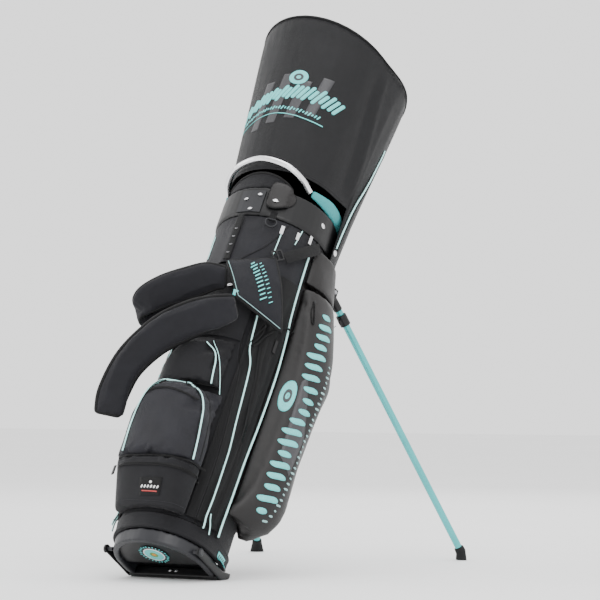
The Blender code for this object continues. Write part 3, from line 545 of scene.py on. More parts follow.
def zip_line(name, surface, route, body="bag", tape=0.016):
    """A coil zip: woven tape and two rows of coil turns."""
    places = surface.path(route, 0.006)
    Build().loft(band_sections(places, tape, 0.0007)).finish(name + "_tape", "webbing", body)
    build = Build()
    fine = surface.path(route, 0.0021, 0.0009)
    for k, ((p, n), (q, _)) in enumerate(zip(fine, fine[1:])):
        along = (q - p).normalized()
        side = along.cross(n).normalized()
        shift = side * (0.0012 if k % 2 else -0.0012)
        build.box(p + shift, along * 0.0008, side * 0.0016, n * 0.0007)
    build.finish(name + "_coil", "zip_coil", body)


def mirrored(route):
    """A route of the bag's right side, moved to its left side."""
    return [(180.0 - phi, z) for phi, z in route]


# ================================================================ soft pieces from CAD solids
def remeshed(node, name, voxel, rounds):
    """A copy of a CAD solid in even small faces, smoothed so that its edges are soft."""
    piece = linked(name, frame["nodes"][node].data.copy())
    remesh = piece.modifiers.new("remesh", "REMESH")
    remesh.mode = "VOXEL"
    remesh.voxel_size = voxel
    relax = piece.modifiers.new("relax", "SMOOTH")
    relax.factor = 0.5
    relax.iterations = rounds
    bake(piece)
    return piece


def padded_copy(node, name, finish, body="bag", voxel=0.005, pressure=4.0, cap=0.006,
                rounds=6, shrink=0.0015):
    """A stuffed fabric piece grown from a CAD solid: remeshed, swollen as cloth and smoothed."""
    piece = remeshed(node, name, voxel, rounds)
    for vertex, normal in [(v, v.normal.copy()) for v in piece.data.vertices]:
        vertex.co -= normal * shrink
    swell(piece, pressure, cap)
    fine = piece.modifiers.new("fine", "SUBSURF")
    fine.levels = 1
    fine.render_levels = 1
    bake(piece)
    piece.data.shade_smooth()
    dress(piece, finish, body, (node,))
    return piece


def bake(piece):
    """Apply the modifiers of a piece."""
    depsgraph = bpy.context.evaluated_depsgraph_get()
    mesh = bpy.data.meshes.new_from_object(piece.evaluated_get(depsgraph))
    piece.modifiers.clear()
    piece.data = mesh


def swell(piece, pressure, cap):
    """Run cloth with inner pressure and no gravity, and limit how far a point moves."""
    scene = bpy.context.scene
    start = [v.co.copy() for v in piece.data.vertices]
    cloth = piece.modifiers.new("cloth", "CLOTH")
    settings = cloth.settings
    settings.quality = 5
    settings.mass = 0.3
    settings.tension_stiffness = 12.0
    settings.compression_stiffness = 12.0
    settings.bending_stiffness = 0.6
    settings.use_pressure = True
    settings.uniform_pressure_force = pressure
    settings.effector_weights.gravity = 0.0
    cloth.collision_settings.use_collision = False
    cloth.point_cache.frame_start = 1
    cloth.point_cache.frame_end = 20
    for number in range(1, 21):
        scene.frame_set(number)
    bake(piece)
    scene.frame_set(1)
    for vertex, home in zip(piece.data.vertices, start):
        move = vertex.co - home
        if move.length > cap:
            vertex.co = home + move.normalized() * cap


def wrinkle(point, normal, depth, scale=(14.0, 14.0, 6.0)):
    """A small soft displacement along the normal."""
    place = Vector((point.x * scale[0], point.y * scale[1], point.z * scale[2]))
    return point + normal * depth * noise.noise(place)


# ================================================================ carried-over plastic and metal
CARRIED = {                                      # CAD parts shown as they are, by finish
    "black_plastic": ("base_floor", "base_emblem", "zip_pull_gusset", "zip_pull_pouch"),
    "gunmetal": ("lever_pin_left", "lever_pin_right", "belt_plate", "d_ring"),
    "velour": ("divider_frame",), "webbing": ("d_ring_loop",),
    "silver": ("grab_handle", "zip_pull_upper_a", "zip_pull_upper_b", "zip_pull_upper_c"),
    "teal_tube": ("leg_tube_left", "leg_tube_right"),
    "steel": ("leg_pin_left", "leg_pin_right", "actuator_rod", "strut_wire_left",
              "strut_wire_right"),
}


def dress_carried():
    for finish, nodes in CARRIED.items():
        for node in nodes:
            for held in frame["nodes"][node].material_slots:
                held.material = FINISHES[finish]


def moulded_part(node, voxel, rounds, body="bag", finish="black_plastic"):
    """A plastic or rubber part with the soft edges that a mould leaves."""
    piece = remeshed(node, node + "_moulded", voxel, rounds)
    piece.data.shade_smooth()
    dress(piece, finish, body, (node,))


def make_moulded():
    moulded_part("base_ring", 0.0026, 5, finish="grey_plastic")
    moulded_part("base_heel", 0.0026, 2)
    moulded_part("foot_lever", 0.0022, 2, "lever")
    moulded_part("top_cuff", 0.0026, 4)
    moulded_part("strap_buckle", 0.0012, 2)
    moulded_part("leg_bracket", 0.0020, 2)
    moulded_part("rod_guide_upper", 0.0015, 2)
    moulded_part("rod_guide_lower", 0.0015, 2)
    for kind, voxel, rounds, finish in (("cap", 0.0012, 3, "black_plastic"),
                                        ("collar", 0.0012, 3, "black_plastic"),
                                        ("foot", 0.0018, 4, "rubber")):
        for word in ("left", "right"):
            moulded_part(f"leg_{kind}_{word}", voxel, rounds, "leg_" + word, finish)


# ================================================================ tube, collar and panels
def node_surface(*nodes):
    return Surface([frame["nodes"][node] for node in nodes])


def thin_panel(name, node, finish, phis, zs, lift=0.0, thick=0.0025, depth=0.0006, closed=False,
               pleats=0.0):
    """A sheet of fabric over a CAD solid, following its outside, with wrinkles and long pleats."""
    surface = node_surface(node)
    outer, inner = [], []
    for phi in phis:
        for z in zs:
            place, normal = surface.at(phi, z)
            fade = 1.0 if closed else smooth(8 * min(zs[-1] - z, z - zs[0]) / (zs[-1] - zs[0]))
            top = wrinkle(place + normal * lift, normal, depth * fade)
            sway = 9.0 * noise.noise(Vector((phi * 0.05, z * 4.0, 0.0)))
            top += normal * pleats * fade * math.sin(math.radians(phi * 26.0 + 40.0 * sway))
            outer.append(top)
            inner.append(top - polar(phi, thick, 0.0))
    faces = slab_faces(len(phis), len(zs), closed)
    make(name, outer + inner, faces, finish, replaces=(node,))


def make_tube():
    thin_panel("tube_cloth", "bag_tube", "nylon", steps(0, 357, 119), steps(0.0625, 0.7995, 60),
               thick=0.0030, closed=True)


def make_collar():
    """Fabric band round the base with a rolled hem above and below."""
    surface = node_surface("base_collar")
    sections = []
    for k in range(120):
        phi = 3.0 * k
        heights = [z for z in steps(0.026, 0.085, 59) if hits(surface, phi, z)]
        low, high = heights[0] + 0.0002, heights[-1] - 0.0002
        profile = []
        for t, puff in ((0.0, 0.0), (0.03, 0.0016), (0.10, 0.0020), (0.18, 0.0006), (0.35, 0.0008),
                        (0.60, 0.0008), (0.82, 0.0005), (0.90, 0.0018), (0.97, 0.0015), (1.0, 0.0)):
            z = low + (high - low) * t
            place, _ = surface.at(phi, z)
            out = polar(phi, 1.0, 0.0)
            profile.append(wrinkle(place + out * puff, out, 0.0005, (30.0, 30.0, 30.0)))
        inner = [p - polar(phi, 0.0060, 0.0) for p in (profile[-1], profile[0])]
        sections.append(profile + inner)
    collar = Build().loft(sections, closed=True)
    collar.finish("base_collar_cloth", "nylon", replaces=("base_collar",))


def hits(surface, phi, z):
    """Whether the surface is met at this angle and height before the axis is."""
    found = surface.shoot(polar(phi, AFAR, z), -polar(phi, 1.0, 0.0))
    return found is not None and found[2] < AFAR


def make_panels():
    thin_panel("spine_cloth", "spine_panel", "nylon", steps(57, 123, 33),
               steps(0.101, 0.714, 50), thick=0.0022)
    thin_panel("upper_front_cloth", "upper_front_pocket", "nylon_panel", steps(-169.5, -10.5, 90),
               steps(0.6530, 0.7750, 24), thick=0.0018, depth=0.0010)
    thin_panel("backing_cloth", "strap_backing", "nylon", steps(-127.5, -52.5, 40),
               steps(0.4725, 0.6510, 24), thick=0.0020)
    for word, turn in (("right", lambda phi: phi), ("left", lambda phi: -180.0 - phi)):
        thin_panel("gusset_cloth_" + word, "zip_gusset_" + word, "mesh",
                   [turn(phi) for phi in steps(-47.5, -10.0, 26)], steps(0.0705, 0.6515, 60),
                   thick=0.0030, depth=0.0016, pleats=0.0016)


def make_pockets():
    """Puffed pockets grown from their solids."""
    for word in ("right", "left"):
        padded_copy("side_pocket_" + word, "side_pocket_film_" + word, "film", voxel=0.0055,
                    cap=0.006, rounds=22)
        padded_copy("upper_pocket_" + word, "upper_pocket_film_" + word, "film", voxel=0.004,
                    pressure=2.0, cap=0.003, rounds=4, shrink=0.0008)
    padded_copy("ball_pocket", "ball_pocket_cloth", "nylon_grey", voxel=0.0045, cap=0.005)
    for node, name in (("lower_pouch", "lower_pouch_cloth"), ("valuables_pocket", "valuables_cloth")):
        padded_copy(node, name, "nylon", voxel=0.0042, pressure=3.0, cap=0.004, rounds=4)


# ================================================================ strap
def strap_rows(route, count):
    centres = curve([row[0] for row in route], count)
    widths = curve([row[1] for row in route], count)
    rows = []
    for k, centre in enumerate(centres):
        along = (centres[min(k + 1, count)] - centres[max(k - 1, 0)]).normalized()
        across = widths[k] - along * widths[k].dot(along)
        rows.append((centre, across.length / 2, across.normalized(), along))
    return rows


PAD_LOWER = [
    ((0.066, -0.146, 0.527), (-0.004, 0.030, -0.042)),
    ((0.044, -0.166, 0.500), (0.008, 0.040, -0.054)),
    ((-0.005, -0.178, 0.472), (0.013, 0.048, -0.059)),
    ((-0.058, -0.190, 0.425), (0.018, 0.050, -0.055)),
    ((-0.104, -0.190, 0.362), (0.038, 0.046, -0.030)),
    ((-0.127, -0.178, 0.300), (0.052, 0.036, 0.006)),
    ((-0.130, -0.168, 0.250), (0.048, 0.024, 0.010))]
PAD_UPPER = [
    ((0.020, -0.146, 0.600), (0.010, 0.030, -0.036)),
    ((-0.012, -0.158, 0.592), (0.015, 0.040, -0.046)),
    ((-0.045, -0.166, 0.574), (0.016, 0.044, -0.049)),
    ((-0.090, -0.180, 0.545), (0.016, 0.044, -0.047)),
    ((-0.125, -0.186, 0.515), (0.016, 0.042, -0.042)),
    ((-0.142, -0.170, 0.500), (0.016, 0.040, -0.042)),
    ((-0.130, -0.152, 0.508), (0.014, 0.038, -0.042)),
    ((-0.092, -0.147, 0.536), (0.012, 0.034, -0.042)),
    ((-0.054, -0.143, 0.557), (0.010, 0.030, -0.040))]


def strap_binding(name, route, count, thick, inset=0.0030):
    """Folded tape round both long edges and both ends of a pad."""
    rows = strap_rows(route, count)
    loop = [c - side * (half - inset) for c, half, side, _ in rows]
    loop += [c + side * (half - inset) for c, half, side, _ in reversed(rows)]
    across = [along.cross(side) for _, _, side, along in rows]
    outs = across + list(reversed(across))
    path, normals = even_loop(loop, outs, 0.004)
    sections = []
    total = len(path)
    for k, p in enumerate(path):
        along = (path[(k + 1) % total] - path[k - 1]).normalized()
        normal = (normals[k] - along * normals[k].dot(along)).normalized()
        side = along.cross(normal).normalized()
        sections.append([p + side * thick * 0.46 * math.cos(a) + normal * thick * 0.50 * math.sin(a)
                         for a in (2 * math.pi * c / 10 for c in range(10))])
    Build().loft(sections, closed=True).finish(name, "binding", sharp=60.0)


def even_loop(points, normals, spacing):
    """A closed path and its normals at even spacing, with its corners slightly rounded."""
    total = len(points)
    fine, fine_normals = [], []
    for k in range(total):
        a, b = points[k], points[(k + 1) % total]
        pieces = max(1, round((b - a).length / spacing))
        for i in range(pieces):
            t = i / pieces
            fine.append(a.lerp(b, t))
            fine_normals.append(normals[k].lerp(normals[(k + 1) % total], t))
    for _ in range(2):
        fine = [(fine[k - 1] + 2 * fine[k] + fine[(k + 1) % len(fine)]) / 4 for k in range(len(fine))]
    return fine, fine_normals


def make_strap():
    padded_copy("strap_pad_lower", "pad_lower_foam", "neoprene", voxel=0.0038, pressure=5.0,
                cap=0.004, rounds=3, shrink=-0.0022)
    strap_binding("pad_lower_binding", PAD_LOWER, 40, 0.0100)
    padded_copy("strap_pad_upper", "pad_upper_foam", "neoprene", voxel=0.0034, pressure=5.0,
                cap=0.003, rounds=3, shrink=-0.0020)
    strap_binding("pad_upper_binding", PAD_UPPER, 60, 0.0090)
    make_centre_pad()


CENTRE_LEFT = [(0.012, -0.1485, 0.641), (0.040, -0.1500, 0.598), (0.064, -0.1440, 0.553)]
CENTRE_RIGHT = [(0.100, -0.1115, 0.671), (0.129, -0.0985, 0.600), (0.151, -0.0800, 0.507)]


def centre_point(u, v, lift=0.0):
    """A point of the centre pad: u across and v down it, with the outward normal."""
    left, right = curve(CENTRE_LEFT, 20), curve(CENTRE_RIGHT, 20)
    row = min(19, int(v * 20))
    share = v * 20 - row
    a = left[row].lerp(left[row + 1], share)
    b = right[row].lerp(right[row + 1], share)
    normal = (left[row + 1] - left[row]).cross(b - a).normalized()
    normal = normal if normal.y < 0 else -normal
    crown = 0.0050 * (1 - (2 * u - 1) ** 4) * (1 - (2 * v - 1) ** 6)
    return a.lerp(b, u) + normal * (crown + lift), normal


def make_centre_pad():
    """Panel that joins the strap's two pads, with a thin light edge on two sides."""
    count = 24
    top, under = [], []
    for i in range(count + 1):
        for j in range(count + 1):
            point, normal = centre_point(i / count, j / count)
            point = wrinkle(point, normal, 0.0010, (40.0, 40.0, 40.0))
            top.append(point)
            under.append(point - normal * 0.0062)
    faces = slab_faces(count + 1, count + 1)
    pad = make("pad_centre_cloth", top + under, faces, "pad_cloth", replaces=("strap_centre_pad",))
    border = [centre_point(t, 0.0, -0.003)[0] for t in steps(0, 1, 16)]
    border += [centre_point(1.0, t, -0.003)[0] for t in steps(0, 1, 24)][1:]
    border += [centre_point(1 - t, 1.0, -0.003)[0] for t in steps(0, 1, 16)][1:]
    border += [centre_point(0.0, 1 - t, -0.003)[0] for t in steps(0, 1, 24)][1:-1]
    Build().tube(border, 0.0034, 8, None, True).finish("pad_centre_binding", "binding", sharp=60.0)
    light = [centre_point(0.012, t, 0.0012)[0] for t in steps(0.03, 0.985, 24)]
    light += [centre_point(t, 0.985, 0.0012)[0] for t in steps(0.012, 0.97, 20)][1:]
    Build().tube(light, 0.0007, 6).finish("pad_centre_edge_line", "ink_pale", sharp=60.0)
    marks = Build()
    for k in range(11):
        v = 0.13 + 0.062 * k
        long = 0.0048 + 0.0036 * abs(math.sin(1.7 * k))
        for row, (u, size) in enumerate(((0.50 + 0.010 * k, 1.0), (0.66 + 0.010 * k, 0.55))):
            point, normal = centre_point(u, v, 0.0008)
            along = (centre_point(u, v + 0.02)[0] - centre_point(u, v)[0]).normalized()
            across = along.cross(normal).normalized()
            slanted = (across + along * 0.45).normalized()
            marks.box(point, slanted * long * size, along * 0.0014 * (1 - 0.35 * row),
                      normal * 0.0005)
    marks.finish("pad_centre_embroidery", "ink")
    point, normal = centre_point(-0.02, 0.93, -0.001)
    Build().box(point, normal.cross(UP_Z).normalized() * 0.006,
                Vector((0.0, -0.001, 0.006)), normal * 0.0011).finish("strap_tag", "ink")


# ================================================================ hood
HOOD_SEAM = 0.016                              # height of the roof's own solid over the wall's
HOOD_TOP = 1.265                               # mean height of the top seam
HOOD_HEMS = (0.7625, 0.8965)                   # lower edge behind, and above the front opening
HOOD_ROWS = 44                                 # steps of the side wall from hem to top seam
HOOD_THICK = 0.0016
DOME = ((0.988, 0.0042), (0.965, 0.0075), (0.92, 0.0105), (0.78, 0.0165), (0.55, 0.0215),
        (0.30, 0.0250), (0.08, 0.0262))        # share of the radius and rise over the seam


def make_hood():
    """Side wall and top panel as one sewn cover, with slow folds and a turned hem."""
    wall = node_surface("hood_shell")
    phis = steps(12.0, 168.0, 60) + steps(170.5, 369.5, 76)
    shares = steps(0.0, 1.0, HOOD_ROWS)
    outer, inner = [], []
    for phi in phis:
        out = polar(phi, 1.0, 0.0)
        low = HOOD_HEMS[0] if 12.0 <= phi <= 168.0 else HOOD_HEMS[1]
        high = hood_seam_height(phi)
        column = []
        for t in shares:
            z = low + (high - low) * t
            place, _ = wall.at(phi, min(z, high - HOOD_SEAM - 0.0005))
            place = Vector((place.x, place.y, z))
            fold = 0.0016 * noise.noise(Vector((phi * 0.055, z * 3.0, 1.7)))
            fold += 0.0026 * noise.noise(Vector((phi * 0.020, z * 5.5, 4.2)))
            hem = 0.0008 if t < 0.045 else 0.0
            fold += hood_crease(phi, z)
            column.append(place + out * (fold * smooth(6 * t) * smooth(6 * (1 - t)) + hem))
        rim = column[-1]
        for share, rise in DOME:
            level = HOOD_TOP + (high - HOOD_TOP) * share + rise
            sag = 0.0025 * noise.noise(Vector((rim.x * share * 9, rim.y * share * 9, 8.0)))
            column.append(Vector((rim.x * share, rim.y * share, level + sag * (1 - share))))
        outer.append(column)
        inner.append([p - polar(phi, HOOD_THICK, HOOD_THICK if k > HOOD_ROWS else 0.0)
                      for k, p in enumerate(column)])
    rows, cols = len(phis), len(outer[0])
    faces = slab_faces(rows, cols, True, (0,))
    faces.append([i * cols + cols - 1 for i in range(rows)])
    faces.append([rows * cols + i * cols + cols - 1 for i in reversed(range(rows))])
    verts = [p for column in outer for p in column] + [p for column in inner for p in column]
    make("hood_cloth", verts, faces, "hood_cloth", "hood", ("hood_shell", "hood_roof"), 50.0)


def hood_seam_height(phi):
    """Height of the hood's top seam: lowest to the right of the legs, highest opposite."""
    return HOOD_TOP - 0.034 * math.cos(math.radians(phi - 60.0))


def make_hood_tab():
    """Folded webbing tab with both ends sewn into the hood's top panel."""
    corners = [TO_BAG @ v.co for v in frame["nodes"]["hood_tab"].data.vertices]
    middle = sum(corners, Vector()) / len(corners)
    top = max(p.z for p in corners)
    out, up = polar(-100.0, 1.0, 0.0), UP_Z
    places = []
    for turn in steps(-90.0, 90.0, 10):
        a = math.radians(turn)
        normal = out * math.sin(a) + up * math.cos(a)
        foot = Vector((middle.x, middle.y, top - 0.0028))
        places.append((foot + out * 0.0016 * math.sin(a) + up * 0.0022 * math.cos(a), normal))
    places.insert(0, (places[0][0] - up * 0.026 - out * 0.0006, -out))
    places.append((places[-1][0] - up * 0.026 + out * 0.0006, out))
    Build().loft(band_sections(places, 0.0150, 0.0011)).finish(
        "hood_tab_loop", "webbing", "hood", replaces=("hood_tab",))


def hood_crease(phi, z):
    """The fold where the front panel turns into the side lobe, the same on both sides."""
    turned = phi - 360.0 if phi > 270.0 else phi
    turned = 180.0 - turned if turned > 90.0 else turned
    place = 6.5 - 13.5 * smooth((z - 0.93) / 0.31)
    away = turned - place
    return 0.0042 * math.exp(-(away / 3.2) ** 2) - 0.0034 * math.exp(-((away + 8.5) / 5.0) ** 2)


# ================================================================ cuff, rim and handle pad
def make_rim():
    """Padded rim of the open top, the padded arch at the front and the lobe beside it."""
    padded_copy("cuff_rim_pad", "rim_padding", "rim_pad", voxel=0.0036, pressure=3.0,
                cap=0.0025, rounds=4, shrink=0.0008)
    padded_copy("front_arch", "arch_padding", "nylon", voxel=0.0034, pressure=3.0,
                cap=0.0025, rounds=4, shrink=0.0008)
    edge = []
    for phi in steps(-126.0, -54.0, 36):
        tops = [z for z in steps(0.850, 0.895, 60) if hits(node_surface("front_arch"), phi, z)]
        edge.append(polar(phi, 0.1262, (tops[-1] if tops else 0.850) - 0.0010))
    Build().tube(edge, 0.0032, 10).finish("arch_roll", "binding", sharp=60.0)
    cushion_patch("lobe_cover", node_surface("lobe_flap", "top_cuff", "front_arch"), LOBE, "film",
                  0.0050, ("lobe_flap",))


LOBE = [(-72.0, 0.852), (-69.0, 0.861), (-62.0, 0.863), (-54.0, 0.856), (-48.0, 0.843),
        (-46.0, 0.829), (-49.0, 0.815), (-56.0, 0.803), (-64.0, 0.796), (-70.0, 0.799),
        (-73.0, 0.812), (-73.5, 0.834)]


def cushion_patch(name, surface, outline, finish, height, replaces=(), body="bag", edge=0.0014):
    """A small domed pad on a surface, with a bound edge."""
    flat = [Vector((phi * DEGREE, z, 0.0)) for phi, z in outline]
    rim = curve(flat + [flat[0]], 60)[:-1]
    centre = sum(rim, Vector()) / len(rim)
    rings = []
    for t in (1.0, 0.97, 0.92, 0.84, 0.70, 0.50, 0.28, 0.10):
        ring = []
        for p in rim:
            q = centre.lerp(p, t)
            place, _ = surface.at(q.x / DEGREE, q.y)
            out = polar(q.x / DEGREE, 1.0, 0.0)
            ring.append(place + out * (height * (1 - t ** 6) ** 0.5 - 0.0004))
        rings.append(ring)
    under = [p - polar(math.degrees(math.atan2(p.y, p.x)), 0.0006, 0.0) for p in rings[0]]
    Build().loft([under] + rings).finish(name, finish, body, replaces, 60.0)
    tape = [p + polar(math.degrees(math.atan2(p.y, p.x)), edge * 0.6, 0.0) for p in rings[0]]
    Build().tube(tape, edge, 8, None, True).finish(name + "_edge", "binding", body, sharp=60.0)


# ================================================================ belts and small metal
def make_belts():
    """Perforated belt down the front and the webbing that carries the strap."""
    belt = node_surface("front_belt")
    rail = [belt.at(-92.5, z) for z in steps(0.6575, 0.7725, 28)]
    holes = Build().loft(band_sections([(p - n * 0.0008, n) for p, n in rail], 0.0155, 0.0022))
    holes.finish("front_belt_strap", "webbing", replaces=("front_belt",))
    eyes = Build()
    for k in range(4):
        p, n = rail[4 + 5 * k]
        eyes.turned(p + n * 0.0011, n, [(0, 0.0034), (0.0007, 0.0034), (0.0009, 0.0028),
                                        (0.0004, 0.0022)], 16)
    eyes.finish("front_belt_eyelets", "steel")
    places = []
    for t in steps(0.0, 1.0, 18):
        p = polar(-40 + 30 * t, 0.140, 0.6855 + 0.070 * t)
        places.append((p - polar(-40 + 30 * t, 0.0011, 0.0), polar(-40 + 30 * t, 1.0, 0.0)))
    Build().loft(band_sections(places, 0.0240, 0.0022)).finish(
        "strap_webbing_belt", "webbing", replaces=("strap_webbing",))


def rivet(name, place, normal, radius=0.0045, finish="silver", body="bag"):
    """A domed cap on a thin washer."""
    profile = [(0, radius * 1.35), (0.0006, radius * 1.35), (0.0009, radius), (0.0018, radius * 0.86),
               (0.0025, radius * 0.5), (0.0027, radius * 0.08)]
    Build().turned(place - normal * 0.0003, normal, profile, 22).finish(name, finish, body)


def make_fasteners():
    plate = node_surface("belt_plate")
    for k, (phi, z) in enumerate(((-81.0, 0.828), (-94.0, 0.816), (-86.5, 0.790))):
        rivet(f"plate_rivet_{k + 1}", *plate.at(phi, z), 0.0042)
    snap, outward = node_surface("lobe_flap").at(-64.0, 0.812)
    rivet("lobe_snap", snap + outward * 0.0042, outward, 0.0050)
    rivet("cuff_rivet_right", *node_surface("top_cuff").at(-10.0, 0.818), 0.0046)
    rivet("cuff_rivet_left", *node_surface("top_cuff").at(190.0, 0.818), 0.0046)
    rivet("backing_snap", *node_surface("strap_backing").at(-81.0, 0.598), 0.0052)
    rivet("hood_snap", *node_surface("hood_shell").at(16.0, 0.790), 0.0050, body="hood")
    heel = node_surface("base_heel")
    for k, phi in enumerate((-100.0, -80.0)):
        rivet(f"heel_screw_{k + 1}", *heel.at(phi, 0.012), 0.0034)


# ================================================================ lines sewn on the body
MAIN_LINE = [(-14.8, 0.744, 0.1270), (-13.6, 0.660, 0.1264), (-11.9, 0.580, 0.1272),
             (-9.8, 0.536, 0.1288), (-8.2, 0.454, 0.1316), (-8.2, 0.381, 0.1316),
             (-8.6, 0.310, 0.1300), (-9.0, 0.237, 0.1262), (-9.1, 0.155, 0.1246),
             (-9.0, 0.090, 0.1222), (-9.5, 0.058, 0.1236)]
SECOND_LINE = [(-46, 0.541), (-43, 0.468), (-36, 0.412), (-32, 0.298), (-28.5, 0.200),
               (-28.5, 0.056)]
SHORT_LINE = [(-24, 0.094), (-20.5, 0.050)]
UPPER_LINE = [(-49.5, 0.743), (-50.5, 0.683)]
UPPER_LINE_B = [(-30, 0.775), (-33, 0.736)]
ARCH_LINE = [(-57.4, 0.164), (-59.5, 0.227), (-62.4, 0.278), (-67.8, 0.309), (-79.5, 0.329),
             (-93, 0.331), (-103, 0.315), (-109, 0.284), (-111.5, 0.230), (-110, 0.164)]
ARCH_SEAM = [(-52.5, 0.170), (-54.2, 0.232), (-57.5, 0.288), (-64.5, 0.322), (-79, 0.341)]
FLAP_SEAM = [(-108, 0.296), (-100, 0.306), (-90, 0.307), (-80.5, 0.301), (-66, 0.287)]
PANEL_SEAM = [(-44, 0.773), (-53, 0.727), (-62, 0.694), (-79, 0.657)]
HOOD_LINE = [(14.5, 0.800), (15, 0.860), (16.5, 0.920), (20, 0.970), (24, 1.030), (27, 1.095)]
VALUABLES_LINE = [(-79.2, 0.440), (-68.5, 0.413), (-64, 0.346)]
VALUABLES_EDGE = [(-75.7, 0.451), (-65.1, 0.410), (-55, 0.338)]
ZIP_ROUTE = [(-34, 0.600), (-30, 0.470), (-24, 0.400), (-20, 0.300), (-17, 0.200), (-17, 0.080)]
WELT_LINE = [(-8, 0.6700), (2, 0.6705), (14, 0.6705), (26, 0.6705), (36, 0.6705), (44, 0.6705)]
SPINE_SEAM = [(57, 0.110), (57, 0.400), (57, 0.700)]
DARK_SEAM = [(-52, 0.500), (-50, 0.450), (-44, 0.400), (-40, 0.300), (-37, 0.200), (-36.5, 0.060)]
SEWN_ON = ("tube_cloth", "base_collar_cloth", "spine_cloth", "upper_front_cloth", "backing_cloth",
           "gusset_cloth_right", "gusset_cloth_left", "side_pocket_film_right",
           "side_pocket_film_left", "upper_pocket_film_right", "upper_pocket_film_left",
           "ball_pocket_cloth", "lower_pouch_cloth", "valuables_cloth")   # what lines are sewn on


def raised_line(name, rows, side, radius=0.0021):
    """A cord on a stitched fin that closes the step between the body and a side pocket."""
    route = curve([(side * (90.0 + phi), z, r) for phi, z, r in rows], 140)
    cord = [polar(p.x - 90.0, p.z + 0.0006, p.y) for p in route]
    foot = [polar(p.x - 90.0 + side * 1.8, p.z - 0.0110, p.y) for p in route]
    Build().tube(cord, radius, 8).finish(name, "piping", sharp=60.0)
    sections = []
    for top, low in zip(cord, foot):
        wide = Vector((-top.y, top.x, 0.0)).normalized() * 0.0012
        sections.append([top - wide, top + wide, low + wide * 2.2, low - wide * 2.2])
    Build().loft(sections).finish(name + "_flange", "piping_dark")


def make_lines(body):
    """Piping, zips, seams and stitches of the bag and the hood."""
    hood = made_surface("hood_cloth")
    for word, turn in (("right", list), ("left", mirrored)):
        raised_line("piping_main_" + word, MAIN_LINE, 1 if turn is list else -1)
        for name, route, radius in (("second_", SECOND_LINE, 0.0018), ("short_", SHORT_LINE, 0.0013),
                                    ("upper_", UPPER_LINE, 0.0013),
                                    ("upper_b_", UPPER_LINE_B, 0.0012)):
            piping("piping_" + name + word, body, turn(route), radius)
        zip_line("zip_gusset_run_" + word, body, turn(ZIP_ROUTE))
        seam("seam_gusset_" + word, body, turn(DARK_SEAM))
        places = body.path(turn(WELT_LINE), 0.003, -0.0008, 4)
        Build().loft(band_sections(places, 0.0170, 0.0012)).finish("pocket_welt_" + word, "film")
        seam("seam_spine_" + word, body, turn(SPINE_SEAM), 0.006)
    piping("piping_ball_arch", body, ARCH_LINE, 0.0019)
    seam("seam_ball_arch", body, ARCH_SEAM)
    # The flap's edge is real; this near-black cord and flange along it also paint the shadow under the
    # flap.
    piping("ball_flap_edge_and_shadow", body, FLAP_SEAM, 0.0013, "piping_dark")
    stitching("stitch_ball_flap", body, [(phi, z - 0.006) for phi, z in FLAP_SEAM])
    seam("seam_upper_panel", body, PANEL_SEAM, 0.0022)
    piping("piping_valuables", body, VALUABLES_LINE, 0.0017)
    piping("piping_valuables_edge", body, VALUABLES_EDGE, 0.0010)
    zip_line("pouch_zip_run", body, [(-115, 0.140), (-92, 0.139), (-66, 0.140), (-46, 0.141)],
             tape=0.010)
    piping("pouch_top_piping", body, [(-116, 0.156), (-92, 0.157), (-66, 0.157), (-46, 0.156)],
           0.0012, "piping_dark")
    stitching("stitch_pouch_top", body, [(-115, 0.1505), (-92, 0.151), (-66, 0.151), (-47, 0.1505)])
    stitching("stitch_pouch_low", body, [(-113, 0.074), (-92, 0.073), (-66, 0.073), (-50, 0.074)])
    for word, turn in (("right", list), ("left", mirrored)):
        piping("hood_piping_" + word, hood, turn(HOOD_LINE), 0.0019, "piping", "hood")
        piping("hood_edge_" + word, hood, turn([(phi + 2.2, z) for phi, z in HOOD_LINE]), 0.0022,
               "piping_dark", "hood")
    seams = [(phi, hood_seam_height(phi) - 0.001) for phi in steps(-175.0, 184.0, 60)]
    piping("hood_top_piping", hood, seams, 0.0014, "piping_dark", "hood")
    stitching("hood_top_stitch", hood, [(phi, z - 0.007) for phi, z in seams], body="hood")
    stitching("hood_hem_stitch_back", hood, [(phi, 0.7695) for phi in steps(18.0, 162.0, 30)],
              body="hood")
    stitching("hood_hem_stitch_front", hood, [(phi, 0.9035) for phi in steps(-184.0, 4.0, 40)],
              body="hood")


def made_surface(*names):
    """The outside of finished pieces."""
    return Surface([bpy.context.scene.objects[name] for name in names])


# ================================================================ plain graphics
SLANT = 62.0                                   # lean of the short bars in degrees


def patch(name, surface, outline, finish="ink", body="bag", lift=0.0005, spacing=0.004):
    """A flat printed shape: its outline in (phi, z), filled and laid on the surface."""
    flat = [Vector((phi * DEGREE, z, 0.0)) for phi, z in outline + [outline[0]]]
    edge = []
    for a, b in zip(flat, flat[1:]):
        pieces = max(1, round((b - a).length / spacing))
        edge += [a.lerp(b, i / pieces) for i in range(pieces)]
    build = bmesh.new()
    loop = [build.verts.new(p) for p in edge]
    build.faces.new(loop)
    bmesh.ops.triangulate(build, faces=build.faces[:])
    for _ in range(3):
        long = [e for e in build.edges if e.calc_length() > spacing * 1.9]
        if not long:
            break
        bmesh.ops.subdivide_edges(build, edges=long, cuts=1)
        bmesh.ops.triangulate(build, faces=build.faces[:])
    mesh = bpy.data.meshes.new(name)
    for vertex in build.verts:
        place, normal = surface.at(vertex.co.x / DEGREE, vertex.co.y)
        vertex.co = place + normal * lift
    build.to_mesh(mesh)
    build.free()
    return film(name, mesh, finish, body)


def film(name, mesh, finish, body):
    """A thin printed skin from a mesh in the bag frame."""
    mesh.transform(BAG)
    mesh.shade_smooth()
    piece = linked(name, mesh)
    thick = piece.modifiers.new("thick", "SOLIDIFY")
    thick.thickness = 0.0005
    thick.offset = 0.0
    bake(piece)
    return dress(piece, finish, body)


